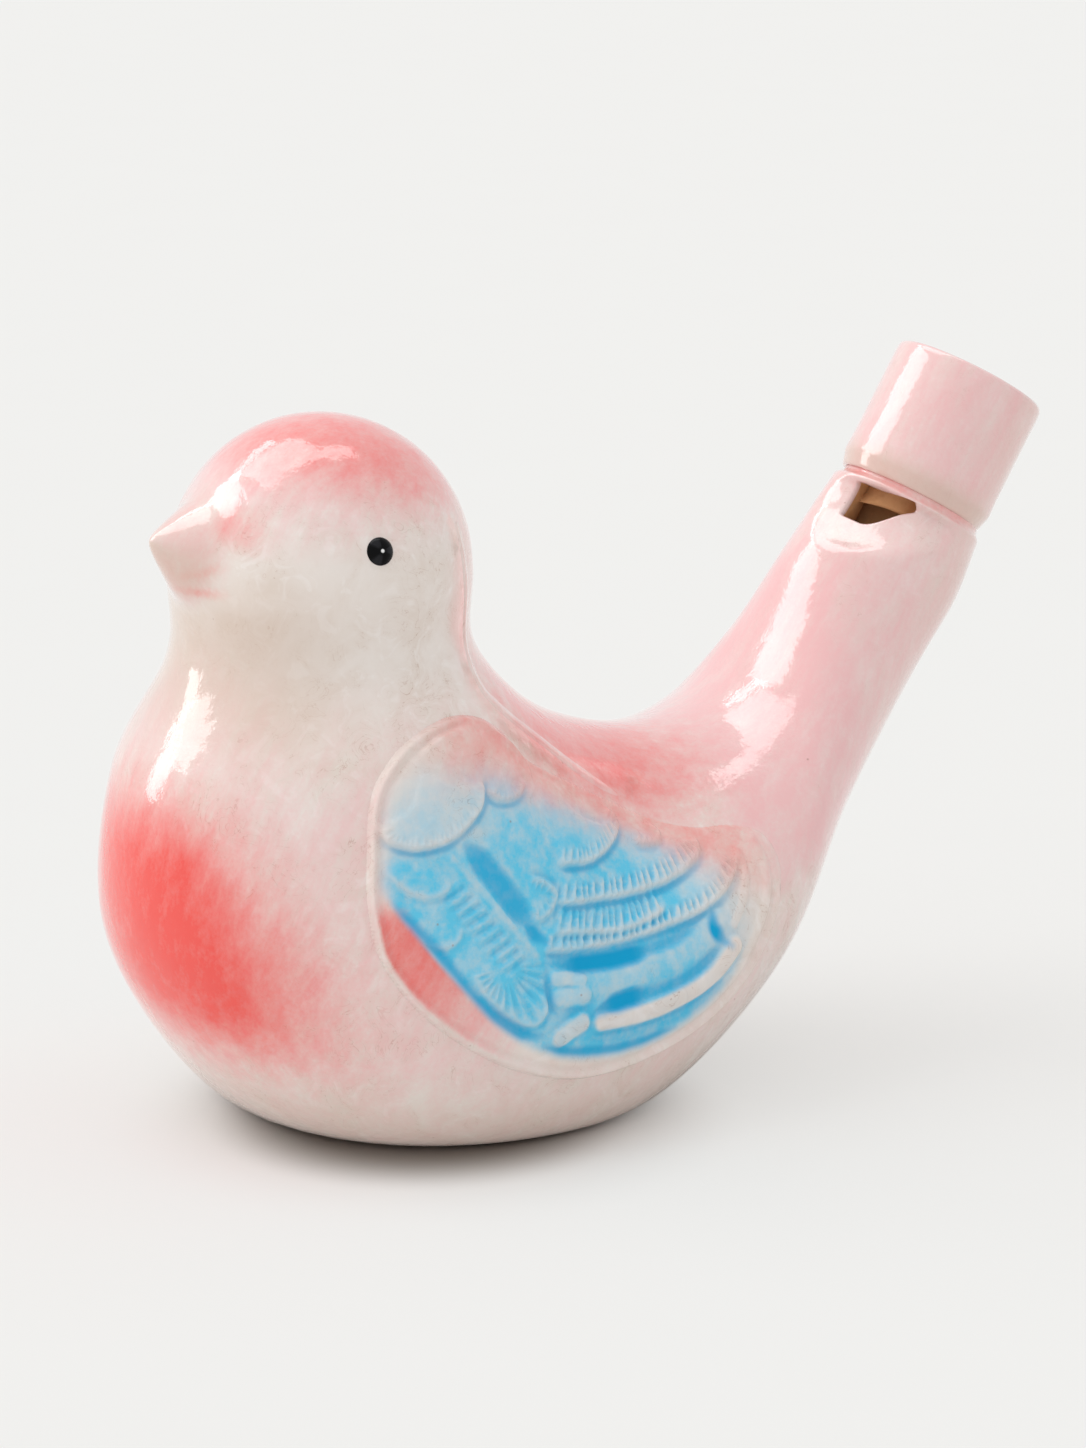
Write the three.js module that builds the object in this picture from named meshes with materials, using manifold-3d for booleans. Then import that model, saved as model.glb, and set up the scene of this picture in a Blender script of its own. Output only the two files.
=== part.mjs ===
// Ceramic bird water whistle.
// A hollow bird, cast as two halves luted together down the middle, is part filled with water.
// Breath blown in at the mouthpiece leaves the windway, crosses the window in the tail and meets
// its sharp lower lip, and the water moving in the tail makes the note warble.
// Millimetres, +Z up. The bird faces -X, its left side is -Y, and its foot stands on Z = 0.

import * as THREE from 'three';
import { mergeVertices } from 'three/addons/utils/BufferGeometryUtils.js';
import loadManifold from 'manifold-3d';

const manifold = await loadManifold();
manifold.setup();

// Clay and joints
const WALL = 2.2; // cast wall of the bird
const FOOT_FLOOR = 2.6; // clay between the foot and the water
const SLIP_GAP = 0.3; // slip or glaze between two pieces that are stuck together

// Head, a half ball on the neck
const HEAD_RADIUS = 11.7;
const HEAD_X = -24.05;
const HEAD_HEIGHT = 43.3; // middle of the ball above the foot

// Body, as sections from the nape and back to the throat and belly
// Each has a place on the back line, a place on the front line and a width across the bird
const NECK_BACK_X = -12.35;
const NECK_BACK_HEIGHT = 37.6;
const NECK_FRONT_X = -35.75;
const NECK_FRONT_HEIGHT = 36.4;
const NECK_WIDTH = 23;

const SHOULDER_BACK_X = -9.35;
const SHOULDER_BACK_HEIGHT = 33.2;
const SHOULDER_FRONT_X = -40.05;
const SHOULDER_FRONT_HEIGHT = 26.6;
const SHOULDER_WIDTH = 30.8;

const BREAST_BACK_X = -4.55;
const BREAST_BACK_HEIGHT = 29.7;
const BREAST_FRONT_X = -40.35;
const BREAST_FRONT_HEIGHT = 12.4;
const BREAST_WIDTH = 37.2;

const FLANK_BACK_X = 1.85; // the widest section
const FLANK_BACK_HEIGHT = 27.5;
const FLANK_FRONT_X = -30.15;
const FLANK_FRONT_HEIGHT = -1.2; // below the foot, which cuts it off flat
const FLANK_WIDTH = 40.8;

const BELLY_BACK_X = 8.15;
const BELLY_BACK_HEIGHT = 27.3;
const BELLY_FRONT_X = -10.95;
const BELLY_FRONT_HEIGHT = -4.9;
const BELLY_WIDTH = 38.8;

const RUMP_BACK_X = 13.05;
const RUMP_BACK_HEIGHT = 29.6;
const RUMP_FRONT_X = 7.45;
const RUMP_FRONT_HEIGHT = 3.6;
const RUMP_WIDTH = 30.4;

const TAIL_ROOT_BACK_X = 16.45;
const TAIL_ROOT_BACK_HEIGHT = 34.2;
const TAIL_ROOT_FRONT_X = 20.25;
const TAIL_ROOT_FRONT_HEIGHT = 16.6;
const TAIL_ROOT_WIDTH = 20.4;

const TAIL_BACK_X = 19.45;
const TAIL_BACK_HEIGHT = 39;
const TAIL_FRONT_X = 28.65;
const TAIL_FRONT_HEIGHT = 28.4;
const TAIL_WIDTH = 14.8;

// Tail end, where the mouthpiece sits
const TAIL_END_X = 30.6;
const TAIL_END_HEIGHT = 43.3;
const TAIL_TILT = 31.3; // degrees from upright, leaning to the back
const TAIL_END_RADIUS = 5.9;
const TAIL_END_SHIFT = 0.45; // the end is drawn in at the front
const TAIL_STRAIGHT = 5; // round stretch below the end
const TAIL_STRAIGHT_RADIUS = 6.5;
const BORE_RADIUS = 3.7;

// Mouthpiece, a sleeve on the tail's spigot
const SPIGOT_RADIUS = 4.5;
const SPIGOT_LENGTH = 2.4; // inside the mouthpiece
const NECK_GROOVE = 0.8; // spigot that shows below the mouthpiece
const MOUTHPIECE_RADIUS = 6.2;
const MOUTHPIECE_LENGTH = 10.2;
const MOUTHPIECE_ROUND = 0.9; // rounding at the lips
const MOUTHPIECE_CHAMFER = 0.5; // at the groove
const WINDWAY_HEIGHT = 1.1;

// Window and its scooped ramp, turned towards the bird's left
const WINDOW_TWIST = 25; // degrees about the tail
const WINDOW_WIDTH = 5.4;
const WINDOW_LENGTH = 3;
const RAMP_ANGLE = 41; // degrees from the tail's axis
const SCOOP_DEPTH = 1.6; // the flat beside the window, below the tail's round surface

// Beak
const BEAK_LENGTH = 3.3; // tip off the head
const BEAK_BEARING = 13.5; // degrees, tip above the middle of the head
const BEAK_TILT = 6; // degrees, axis above level
const BEAK_BASE_HEIGHT = 9.8;
const BEAK_BASE_WIDTH = 11.2;
const BEAK_TIP_RADIUS = 0.9;
const BEAK_ANGLE = 43; // degrees, half the cone

// Eyes, beads with a peg in a spot-faced socket
const EYE_RADIUS = 1.15;
const EYE_DOME = 0.85;
const EYE_SEAT = 0.4; // depth of the spot face
const EYE_PEG_RADIUS = 0.5;
const EYE_PEG_LENGTH = 1;
const EYE_BEARING = 84; // degrees round from the beak
const EYE_RISE = 17; // degrees above the middle of the head

// Wings, sprigs pressed in a mould and stuck on the flanks
const WING_LENGTH = 37.3;
const WING_HEIGHT = 27.3;
const WING_FRONT_X = -29.35;
const WING_LOW_EDGE = 6.2; // above the foot
// Outline seen from the side, along the wing's length and up its height from 0 to 1
const WING_OUTLINE = [
  [0, 0.615], [0.059, 0.883], [0.233, 1], [0.408, 0.853], [0.649, 0.681], [0.89, 0.52],
  [1, 0.418], [0.89, 0.165], [0.689, 0.037], [0.461, 0], [0.22, 0.132], [0.054, 0.359],
];
const WING_MIDDLE = [0.452, 0.469]; // inside the outline, where the rings of points start
const FEATHER_CENTRE = [0.143, 0.799]; // the shoulder, where the tiers of feathers spread from
const WING_THICKNESS = 1.1;
const WING_EDGE = 0.5;
const FEATHER_RELIEF = 0.45;
const FEATHER_PITCH = 5.2; // between tiers

// Fineness of the faceted surfaces
const SKIN_SIDES = 44;
const SKIN_DOME_ROWS = 7;
const SKIN_ROWS_PER_STATION = 4;
const CAVITY_SIDES = 28;
const CAVITY_DOME_ROWS = 5;
const CAVITY_ROWS_PER_STATION = 3;
const WING_SIDES = 48;
const WING_RINGS = 11;
const ROUND_SIDES = 40;
const SMALL_SIDES = 20;
const ARC_STEPS = 4;

const CUT_REACH = 200; // cutting blocks are larger than the bird

const glaze = (name, colour, roughness) => new THREE.MeshStandardMaterial({
  name,
  color: colour,
  roughness,
  metalness: 0,
});
const bodyGlaze = glaze('body_glaze', '#ead6cd', 0.12);
const wingGlaze = glaze('wing_glaze', '#8cc6de', 0.12);
const beakGlaze = glaze('beak_glaze', '#efc8b9', 0.14);
const eyeGlaze = glaze('eye_glaze', '#121214', 0.06);
const mouthpieceGlaze = glaze('mouthpiece_glaze', '#e8cbc9', 0.12);
const bareClay = glaze('bare_clay', '#b98f6c', 0.75);

const radians = THREE.MathUtils.degToRad;
const upright = (x, z) => new THREE.Vector3(x, 0, z);

// A closed geometry as a solid, with its shared points joined and empty triangles left out.
function solidOf(geometry) {
  const bare = geometry.clone();
  bare.deleteAttribute('normal');
  bare.deleteAttribute('uv');
  const joined = mergeVertices(bare);
  const corners = joined.index.array;
  const triangles = [];
  for (let i = 0; i < corners.length; i += 3) {
    const [a, b, c] = [corners[i], corners[i + 1], corners[i + 2]];
    if (a !== b && b !== c && c !== a) {
      triangles.push(a, b, c);
    }
  }
  return new manifold.Manifold(new manifold.Mesh({
    numProp: 3,
    vertProperties: new Float32Array(joined.attributes.position.array),
    triVerts: new Uint32Array(triangles),
  }));
}

function geometryOf(solid) {
  const faces = solid.getMesh();
  const geometry = new THREE.BufferGeometry();
  geometry.setAttribute('position', new THREE.BufferAttribute(faces.vertProperties, 3));
  geometry.setIndex(new THREE.BufferAttribute(faces.triVerts, 1));
  return geometry;
}

function piece(name, geometry, material) {
  const mesh = new THREE.Mesh(geometry, material);
  mesh.name = name;
  mesh.geometry.computeVertexNormals();
  return mesh;
}

// A skin through rings of points, closed by a point at each end.
function loft(firstPoint, rings, lastPoint) {
  const sides = rings[0].length;
  const points = [firstPoint, ...rings.flat(), lastPoint];
  const lastIndex = points.length - 1;
  const lastRing = lastIndex - sides;
  const faces = [];
  for (let side = 0; side < sides; side += 1) {
    const next = (side + 1) % sides;
    faces.push(0, 1 + next, 1 + side);
    for (let ring = 0; ring < rings.length - 1; ring += 1) {
      const here = 1 + ring * sides;
      const below = here + sides;
      faces.push(here + side, here + next, below + next);
      faces.push(here + side, below + next, below + side);
    }
    faces.push(lastIndex, lastRing + side, lastRing + next);
  }
  const geometry = new THREE.BufferGeometry().setFromPoints(points);
  geometry.setIndex(faces);
  return geometry;
}

// A round bar along +Z between two heights.
function bar(radius, low, high, sides = ROUND_SIDES) {
  const geometry = new THREE.CylinderGeometry(radius, radius, high - low, sides);
  geometry.rotateX(Math.PI / 2);
  geometry.translate(0, 0, (low + high) / 2);
  return geometry;
}

// A turned piece about +Z from [radius, height] pairs, which run upwards and end on the axis.
function turned(profile, sides) {
  const points = profile.map(([radius, height]) => new THREE.Vector2(radius, height));
  const geometry = new THREE.LatheGeometry(points, sides);
  geometry.rotateX(Math.PI / 2);
  return geometry;
}

// The tail's own frame: origin at the middle of its end, +Z out along it, -X out of the window.
const tailFrame = new THREE.Matrix4().compose(
  upright(TAIL_END_X, TAIL_END_HEIGHT),
  new THREE.Quaternion().setFromEuler(
    new THREE.Euler(0, radians(TAIL_TILT), radians(WINDOW_TWIST), 'YXZ'),
  ),
  new THREE.Vector3(1, 1, 1),
);
const alongTail = upright(Math.sin(radians(TAIL_TILT)), Math.cos(radians(TAIL_TILT)));
const acrossTail = upright(Math.cos(radians(TAIL_TILT)), -Math.sin(radians(TAIL_TILT)));
const tailEnd = upright(TAIL_END_X, TAIL_END_HEIGHT);
const headMiddle = upright(HEAD_X, HEAD_HEIGHT);

// A section of the body; egg is how much wider its front half is than its back half.
const station = (back, front, width, egg) => ({
  back,
  front,
  girth: new THREE.Vector3(width / 2, egg, 0),
});

const roundStation = (middle, across, radius) => ({
  back: middle.clone().addScaledVector(across, -radius),
  front: middle.clone().addScaledVector(across, radius),
  girth: new THREE.Vector3(radius, 0, 0),
});

// Round section of the head, at an angle down from the crown.
function headStation(radius, angle) {
  const middle = headMiddle.clone().add(upright(0, radius * Math.cos(angle)));
  return roundStation(middle, upright(-1, 0), radius * Math.sin(angle));
}

// The bird's sections from just above the middle of the head to the tail's end.
const stations = [
  headStation(HEAD_RADIUS, radians(60)),
  headStation(HEAD_RADIUS, radians(90)),
  station(
    upright(NECK_BACK_X, NECK_BACK_HEIGHT),
    upright(NECK_FRONT_X, NECK_FRONT_HEIGHT),
    NECK_WIDTH,
    0,
  ),
  station(
    upright(SHOULDER_BACK_X, SHOULDER_BACK_HEIGHT),
    upright(SHOULDER_FRONT_X, SHOULDER_FRONT_HEIGHT),
    SHOULDER_WIDTH,
    0.03,
  ),
  station(
    upright(BREAST_BACK_X, BREAST_BACK_HEIGHT),
    upright(BREAST_FRONT_X, BREAST_FRONT_HEIGHT),
    BREAST_WIDTH,
    0.08,
  ),
  station(
    upright(FLANK_BACK_X, FLANK_BACK_HEIGHT),
    upright(FLANK_FRONT_X, FLANK_FRONT_HEIGHT),
    FLANK_WIDTH,
    0.12,
  ),
  station(
    upright(BELLY_BACK_X, BELLY_BACK_HEIGHT),
    upright(BELLY_FRONT_X, BELLY_FRONT_HEIGHT),
    BELLY_WIDTH,
    0.15,
  ),
  station(
    upright(RUMP_BACK_X, RUMP_BACK_HEIGHT),
    upright(RUMP_FRONT_X, RUMP_FRONT_HEIGHT),
    RUMP_WIDTH,
    0.12,
  ),
  station(
    upright(TAIL_ROOT_BACK_X, TAIL_ROOT_BACK_HEIGHT),
    upright(TAIL_ROOT_FRONT_X, TAIL_ROOT_FRONT_HEIGHT),
    TAIL_ROOT_WIDTH,
    0.05,
  ),
  station(
    upright(TAIL_BACK_X, TAIL_BACK_HEIGHT),
    upright(TAIL_FRONT_X, TAIL_FRONT_HEIGHT),
    TAIL_WIDTH,
    0,
  ),
  roundStation(
    tailEnd.clone().addScaledVector(alongTail, -TAIL_STRAIGHT),
    acrossTail,
    TAIL_STRAIGHT_RADIUS,
  ),
  roundStation(
    tailEnd.clone().addScaledVector(acrossTail, TAIL_END_SHIFT),
    acrossTail,
    TAIL_END_RADIUS,
  ),
];

const smoothLine = (points) => new THREE.CatmullRomCurve3(points, false, 'catmullrom');
const lines = {
  back: smoothLine(stations.map((section) => section.back)),
  front: smoothLine(stations.map((section) => section.front)),
  girth: smoothLine(stations.map((section) => section.girth)),
};

// Section at a place along the bird, counted in stations from the middle of the head.
function sectionAt(place) {
  const share = (place + 1) / (stations.length - 1);
  return {
    back: lines.back.getPoint(share),
    front: lines.front.getPoint(share),
    girth: lines.girth.getPoint(share),
  };
}

// The same section with a wall taken off all round.
function inset(section, wall) {
  const half = section.front.clone().sub(section.back).multiplyScalar(0.5);
  const step = half.clone().setLength(wall);
  return {
    back: section.back.clone().add(step),
    front: section.front.clone().sub(step),
    girth: section.girth.clone().setX(section.girth.x - wall),
  };
}

function ringOf(section, sides) {
  const middle = section.back.clone().add(section.front).multiplyScalar(0.5);
  const half = section.front.clone().sub(middle);
  const ring = [];
  for (let side = 0; side < sides; side += 1) {
    const angle = (2 * Math.PI * side) / sides;
    const point = middle.clone().addScaledVector(half, Math.cos(angle));
    point.y = section.girth.x * Math.sin(angle) * (1 + section.girth.y * Math.cos(angle));
    ring.push(point);
  }
  return ring;
}

const stationSpans = stations.length - 2;

// The bird's closed outer skin, or the hollow inside it when a wall is taken off.
function birdForm(wall, sides, domeRows, rowsPerStation) {
  const rings = [];
  for (let row = 1; row < domeRows; row += 1) {
    const angle = (Math.PI / 2) * (row / domeRows);
    rings.push(ringOf(headStation(HEAD_RADIUS - wall, angle), sides));
  }
  const rows = stationSpans * rowsPerStation;
  for (let row = 0; row <= rows; row += 1) {
    const section = sectionAt(row / rowsPerStation);
    rings.push(ringOf(wall > 0 ? inset(section, wall) : section, sides));
  }
  const crown = headMiddle.clone().add(upright(0, HEAD_RADIUS - wall));
  const end = rings[rings.length - 1];
  const endMiddle = end[0].clone().add(end[sides / 2]).multiplyScalar(0.5);
  return loft(crown, rings, endMiddle);
}

// A block that fills everything on one side of a plane through a point on the Z axis.
function halfSpace(direction, height = 0) {
  const block = new THREE.BoxGeometry(CUT_REACH, CUT_REACH, CUT_REACH);
  const middle = direction.clone().multiplyScalar(CUT_REACH / 2);
  block.translate(middle.x, middle.y, middle.z + height);
  return solidOf(block);
}

// A prism across the tail, from [x, z] corners in the tail's frame.
function tailPrism(corners, width) {
  const outline = new THREE.Shape(corners.map(([x, z]) => new THREE.Vector2(x, z)));
  const prism = new THREE.ExtrudeGeometry(outline, { depth: width, bevelEnabled: false });
  prism.translate(0, 0, -width / 2);
  prism.rotateX(Math.PI / 2);
  prism.applyMatrix4(tailFrame);
  return solidOf(prism);
}

// The scooped flat with its ramp, and the window with the lip that the breath meets.
function windowCuts() {
  const clear = -2 * TAIL_STRAIGHT_RADIUS;
  const flat = SCOOP_DEPTH - TAIL_STRAIGHT_RADIUS;
  const slope = 1 / Math.tan(radians(RAMP_ANGLE));
  const rampHeight = (x) => -WINDOW_LENGTH + (x + BORE_RADIUS) * slope;
  const scoop = tailPrism(
    [[clear, rampHeight(clear)], [flat, rampHeight(flat)], [flat, NECK_GROOVE], [clear, NECK_GROOVE]],
    4 * TAIL_STRAIGHT_RADIUS,
  );
  const opening = tailPrism(
    [[clear, rampHeight(clear)], [-BORE_RADIUS, -WINDOW_LENGTH], [0, -WINDOW_LENGTH], [0, 0], [clear, 0]],
    WINDOW_WIDTH,
  );
  return scoop.add(opening);
}

// Places on the head: outwards along +Z at a bearing round from the beak and a rise.
function headFrame(bearing, rise) {
  const outwards = new THREE.Vector3(
    -Math.cos(radians(bearing)) * Math.cos(radians(rise)),
    -Math.sin(radians(bearing)) * Math.cos(radians(rise)),
    Math.sin(radians(rise)),
  );
  const turn = new THREE.Quaternion().setFromUnitVectors(new THREE.Vector3(0, 0, 1), outwards);
  const place = headMiddle.clone().addScaledVector(outwards, HEAD_RADIUS);
  return new THREE.Matrix4().compose(place, turn, new THREE.Vector3(1, 1, 1));
}

const pegBottom = -EYE_SEAT - EYE_PEG_LENGTH;

function eyeSocket(bearing) {
  const spotFace = solidOf(bar(EYE_RADIUS + SLIP_GAP, -EYE_SEAT, EYE_DOME, SMALL_SIDES).applyMatrix4(
    headFrame(bearing, EYE_RISE),
  ));
  const pegHole = solidOf(
    bar(EYE_PEG_RADIUS + SLIP_GAP, pegBottom - SLIP_GAP, EYE_DOME, SMALL_SIDES).applyMatrix4(
      headFrame(bearing, EYE_RISE),
    ),
  );
  return spotFace.add(pegHole);
}

function eye(bearing) {
  const seat = SLIP_GAP - EYE_SEAT;
  const profile = [[0, pegBottom], [EYE_PEG_RADIUS, pegBottom], [EYE_PEG_RADIUS, seat]];
  for (let step = 0; step <= ARC_STEPS; step += 1) {
    const angle = (Math.PI / 2) * (step / ARC_STEPS);
    profile.push([EYE_RADIUS * Math.cos(angle), seat + EYE_DOME * Math.sin(angle)]);
  }
  profile[profile.length - 1][0] = 0;
  const bead = turned(profile, SMALL_SIDES).applyMatrix4(headFrame(bearing, EYE_RISE));
  return geometryOf(solidOf(bead));
}

const spigotTop = NECK_GROOVE + SPIGOT_LENGTH;

// Hollow bird with its spigot, bore, window and eye sockets, before it is parted.
function birdShell() {
  const up = new THREE.Vector3(0, 0, 1);
  const skin = solidOf(birdForm(0, SKIN_SIDES, SKIN_DOME_ROWS, SKIN_ROWS_PER_STATION));
  const hollow = solidOf(birdForm(WALL, CAVITY_SIDES, CAVITY_DOME_ROWS, CAVITY_ROWS_PER_STATION));
  const spigot = solidOf(bar(SPIGOT_RADIUS, -WALL, spigotTop).applyMatrix4(tailFrame));
  const bore = solidOf(
    bar(BORE_RADIUS, -TAIL_STRAIGHT, spigotTop + WALL).applyMatrix4(tailFrame),
  );
  return skin
    .intersect(halfSpace(up))
    .add(spigot)
    .subtract(hollow.intersect(halfSpace(up, FOOT_FLOOR)))
    .subtract(bore)
    .subtract(windowCuts())
    .subtract(eyeSocket(EYE_BEARING))
    .subtract(eyeSocket(-EYE_BEARING));
}

// Everything of the tail above a place on its axis.
function tailTop(low) {
  const block = bar(2 * TAIL_STRAIGHT_RADIUS, low, spigotTop + WALL);
  return solidOf(block.applyMatrix4(tailFrame));
}

// Sleeve with a socket for the spigot and the bore for the windway block, in the tail's frame.
function mouthpiece() {
  const top = NECK_GROOVE + MOUTHPIECE_LENGTH;
  const profile = [
    [0, NECK_GROOVE],
    [MOUTHPIECE_RADIUS - MOUTHPIECE_CHAMFER, NECK_GROOVE],
    [MOUTHPIECE_RADIUS, NECK_GROOVE + MOUTHPIECE_CHAMFER],
  ];
  for (let step = 0; step <= ARC_STEPS; step += 1) {
    const angle = (Math.PI / 2) * (step / ARC_STEPS);
    profile.push([
      MOUTHPIECE_RADIUS - MOUTHPIECE_ROUND * (1 - Math.cos(angle)),
      top - MOUTHPIECE_ROUND * (1 - Math.sin(angle)),
    ]);
  }
  profile.push([0, top]);
  const socketTop = spigotTop + SLIP_GAP;
  const sleeve = solidOf(turned(profile, ROUND_SIDES))
    .subtract(solidOf(bar(SPIGOT_RADIUS + SLIP_GAP, NECK_GROOVE - WALL, socketTop)))
    .subtract(solidOf(bar(BORE_RADIUS, NECK_GROOVE, top + WALL)));
  return geometryOf(sleeve);
}

// Plug in the bore with a flat that leaves the slot for the breath, in the tail's frame.
function windwayBlock() {
  const top = NECK_GROOVE + MOUTHPIECE_LENGTH;
  const plug = solidOf(bar(BORE_RADIUS - SLIP_GAP, 0, top));
  const slot = new THREE.BoxGeometry(CUT_REACH, CUT_REACH, CUT_REACH);
  slot.translate(WINDWAY_HEIGHT - BORE_RADIUS - CUT_REACH / 2, 0, 0);
  return geometryOf(plug.subtract(solidOf(slot)));
}

// Blunt cone, hollowed at the back to sit on the head.
function beak() {
  const slope = Math.tan(radians(BEAK_ANGLE));
  const baseRadius = BEAK_BASE_HEIGHT / 2;
  const baseDepth = -baseRadius / slope;
  const profile = [
    [0, baseDepth - BEAK_LENGTH],
    [baseRadius, baseDepth - BEAK_LENGTH],
    [baseRadius, baseDepth],
  ];
  const ballHeight = -BEAK_TIP_RADIUS;
  for (let step = 0; step <= ARC_STEPS; step += 1) {
    const share = step / ARC_STEPS;
    const angle = THREE.MathUtils.lerp(radians(BEAK_ANGLE), Math.PI / 2, share);
    profile.push([BEAK_TIP_RADIUS * Math.cos(angle), ballHeight + BEAK_TIP_RADIUS * Math.sin(angle)]);
  }
  profile[profile.length - 1][0] = 0;
  const cone = turned(profile, ROUND_SIDES);
  const tip = headMiddle.clone().addScaledVector(
    upright(-Math.cos(radians(BEAK_BEARING)), Math.sin(radians(BEAK_BEARING))),
    HEAD_RADIUS + BEAK_LENGTH,
  );
  cone.scale(1, BEAK_BASE_WIDTH / BEAK_BASE_HEIGHT, 1);
  cone.rotateY(radians(BEAK_TILT - 90));
  cone.translate(tip.x, tip.y, tip.z);
  const head = new THREE.SphereGeometry(HEAD_RADIUS + SLIP_GAP, 2 * ROUND_SIDES, ROUND_SIDES);
  head.translate(headMiddle.x, headMiddle.y, headMiddle.z);
  return geometryOf(solidOf(cone).subtract(solidOf(head)));
}

// How far the bird's flank stands out from its middle plane at a place seen from the side.
function flankDepth(x, z) {
  const place = upright(x, z);
  let low = 0;
  let high = stationSpans;
  for (let turn = 0; turn < 30; turn += 1) {
    const middle = (low + high) / 2;
    const { back, front } = sectionAt(middle);
    const across = front.clone().sub(back);
    const beyond = across.x * (place.z - back.z) - across.z * (place.x - back.x);
    if (beyond > 0) {
      low = middle;
    } else {
      high = middle;
    }
  }
  const { back, front, girth } = sectionAt(low);
  const half = front.clone().sub(back).multiplyScalar(0.5);
  const share = place.sub(back).sub(half).dot(half) / half.lengthSq();
  return girth.x * Math.sqrt(Math.max(0, 1 - share * share)) * (1 + girth.y * share);
}

const onWing = ([along, up]) => upright(
  WING_FRONT_X + along * WING_LENGTH,
  WING_LOW_EDGE + up * WING_HEIGHT,
);

// Tiers of feathers that spread from the shoulder, from 0 in a hollow to 1 on a crest.
function feather(point) {
  const distance = point.distanceTo(onWing(FEATHER_CENTRE));
  return 0.5 - 0.5 * Math.cos((2 * Math.PI * distance) / FEATHER_PITCH);
}

// Plaque that follows the flank, thin at its edge; side is -1 for the bird's left and 1 for its right.
function wing(side) {
  const outline = new THREE.CatmullRomCurve3(WING_OUTLINE.map(onWing), true, 'catmullrom');
  const middle = onWing(WING_MIDDLE);
  const pointAt = (edge, share, raised) => {
    const point = middle.clone().lerp(edge, share);
    const thinning = share ** 6;
    const relief = WING_THICKNESS + FEATHER_RELIEF * feather(point);
    const height = raised ? THREE.MathUtils.lerp(relief, WING_EDGE, thinning) : 0;
    point.y = side * (flankDepth(point.x, point.z) + SLIP_GAP + height);
    return point;
  };
  const ringAt = (share, raised) => {
    const ring = [];
    for (let step = 0; step < WING_SIDES; step += 1) {
      const turn = (side * step) / WING_SIDES;
      ring.push(pointAt(outline.getPoint(turn < 0 ? turn + 1 : turn), share, raised));
    }
    return ring;
  };
  const shares = [];
  for (let ring = 1; ring <= WING_RINGS; ring += 1) {
    shares.push(ring / WING_RINGS);
  }
  const under = shares.map((share) => ringAt(share, false));
  const over = shares.toReversed().map((share) => ringAt(share, true));
  return loft(pointAt(middle, 0, false), [...under, ...over], pointAt(middle, 0, true));
}

// The tail ends at the lip in the two halves, and goes on in the collar that the window is cut in.
const shell = birdShell();
const halves = shell.subtract(tailTop(-WINDOW_LENGTH));
const collar = shell.intersect(tailTop(SLIP_GAP - WINDOW_LENGTH));
const leftHalf = halves.intersect(halfSpace(new THREE.Vector3(0, -1, 0)));
const rightHalf = halves.intersect(halfSpace(new THREE.Vector3(0, 1, 0)));

const bird = new THREE.Group();
bird.add(
  piece('body_shell_left', geometryOf(leftHalf), bodyGlaze),
  piece('body_shell_right', geometryOf(rightHalf), bodyGlaze),
  piece('window_collar', geometryOf(collar), bodyGlaze),
  piece('wing_left', wing(-1), wingGlaze),
  piece('wing_right', wing(1), wingGlaze),
  piece('beak', beak(), beakGlaze),
  piece('eye_left', eye(EYE_BEARING), eyeGlaze),
  piece('eye_right', eye(-EYE_BEARING), eyeGlaze),
);

const whistleHead = new THREE.Group();
whistleHead.applyMatrix4(tailFrame);
whistleHead.add(
  piece('mouthpiece', mouthpiece(), mouthpieceGlaze),
  piece('windway_block', windwayBlock(), bareClay),
);
bird.add(whistleHead);

export default bird;
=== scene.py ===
import math

import bmesh
import bpy
import numpy as np
from mathutils import Matrix, Vector


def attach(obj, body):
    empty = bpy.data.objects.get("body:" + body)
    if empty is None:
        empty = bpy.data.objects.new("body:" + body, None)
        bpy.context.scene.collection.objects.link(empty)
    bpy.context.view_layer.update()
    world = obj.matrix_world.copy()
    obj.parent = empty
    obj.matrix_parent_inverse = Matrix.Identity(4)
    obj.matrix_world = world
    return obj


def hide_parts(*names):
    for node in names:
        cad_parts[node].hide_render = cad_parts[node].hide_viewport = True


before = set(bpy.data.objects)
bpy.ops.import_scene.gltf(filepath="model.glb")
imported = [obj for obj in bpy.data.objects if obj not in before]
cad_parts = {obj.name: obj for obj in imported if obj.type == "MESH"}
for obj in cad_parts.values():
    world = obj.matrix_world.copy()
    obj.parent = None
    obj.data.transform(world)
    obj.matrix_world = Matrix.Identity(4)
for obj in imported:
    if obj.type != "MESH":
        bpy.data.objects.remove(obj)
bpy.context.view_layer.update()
scene = bpy.context.scene
mm = 0.001
print("frame loaded", list(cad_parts))


def linearColour(hexText):
    shares = [int(hexText[i:i + 2], 16) / 255 for i in (1, 3, 5)]
    return [c / 12.92 if c < 0.0405 else ((c + 0.055) / 1.055) ** 2.4 for c in shares] + [1.0]


def addNode(tree, kind, inputs, **settings):
    node = tree.nodes.new("ShaderNode" + kind)
    for name, value in settings.items():
        setattr(node, name, value)
    for socket, value in inputs.items():
        if isinstance(value, bpy.types.NodeSocket):
            tree.links.new(value, node.inputs[socket])
        else:
            node.inputs[socket].default_value = value
    return node


def newMaterial(name):
    material = bpy.data.materials.new(name)
    material.use_nodes = True
    tree = material.node_tree
    tree.nodes.clear()
    return material, tree, addNode(tree, "TexCoord", {}).outputs["Object"]


def surfaced(material, tree, kind, inputs):
    shader = addNode(tree, kind, inputs)
    addNode(tree, "OutputMaterial", {"Surface": shader.outputs[0]})
    return material


def noise(tree, where, sizeMm, detail, **more):
    inputs = {"Vector": where, "Scale": 1 / (sizeMm * mm), "Detail": detail}
    inputs.update((name.title(), value) for name, value in more.items())
    return addNode(tree, "TexNoise", inputs).outputs[0]


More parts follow.
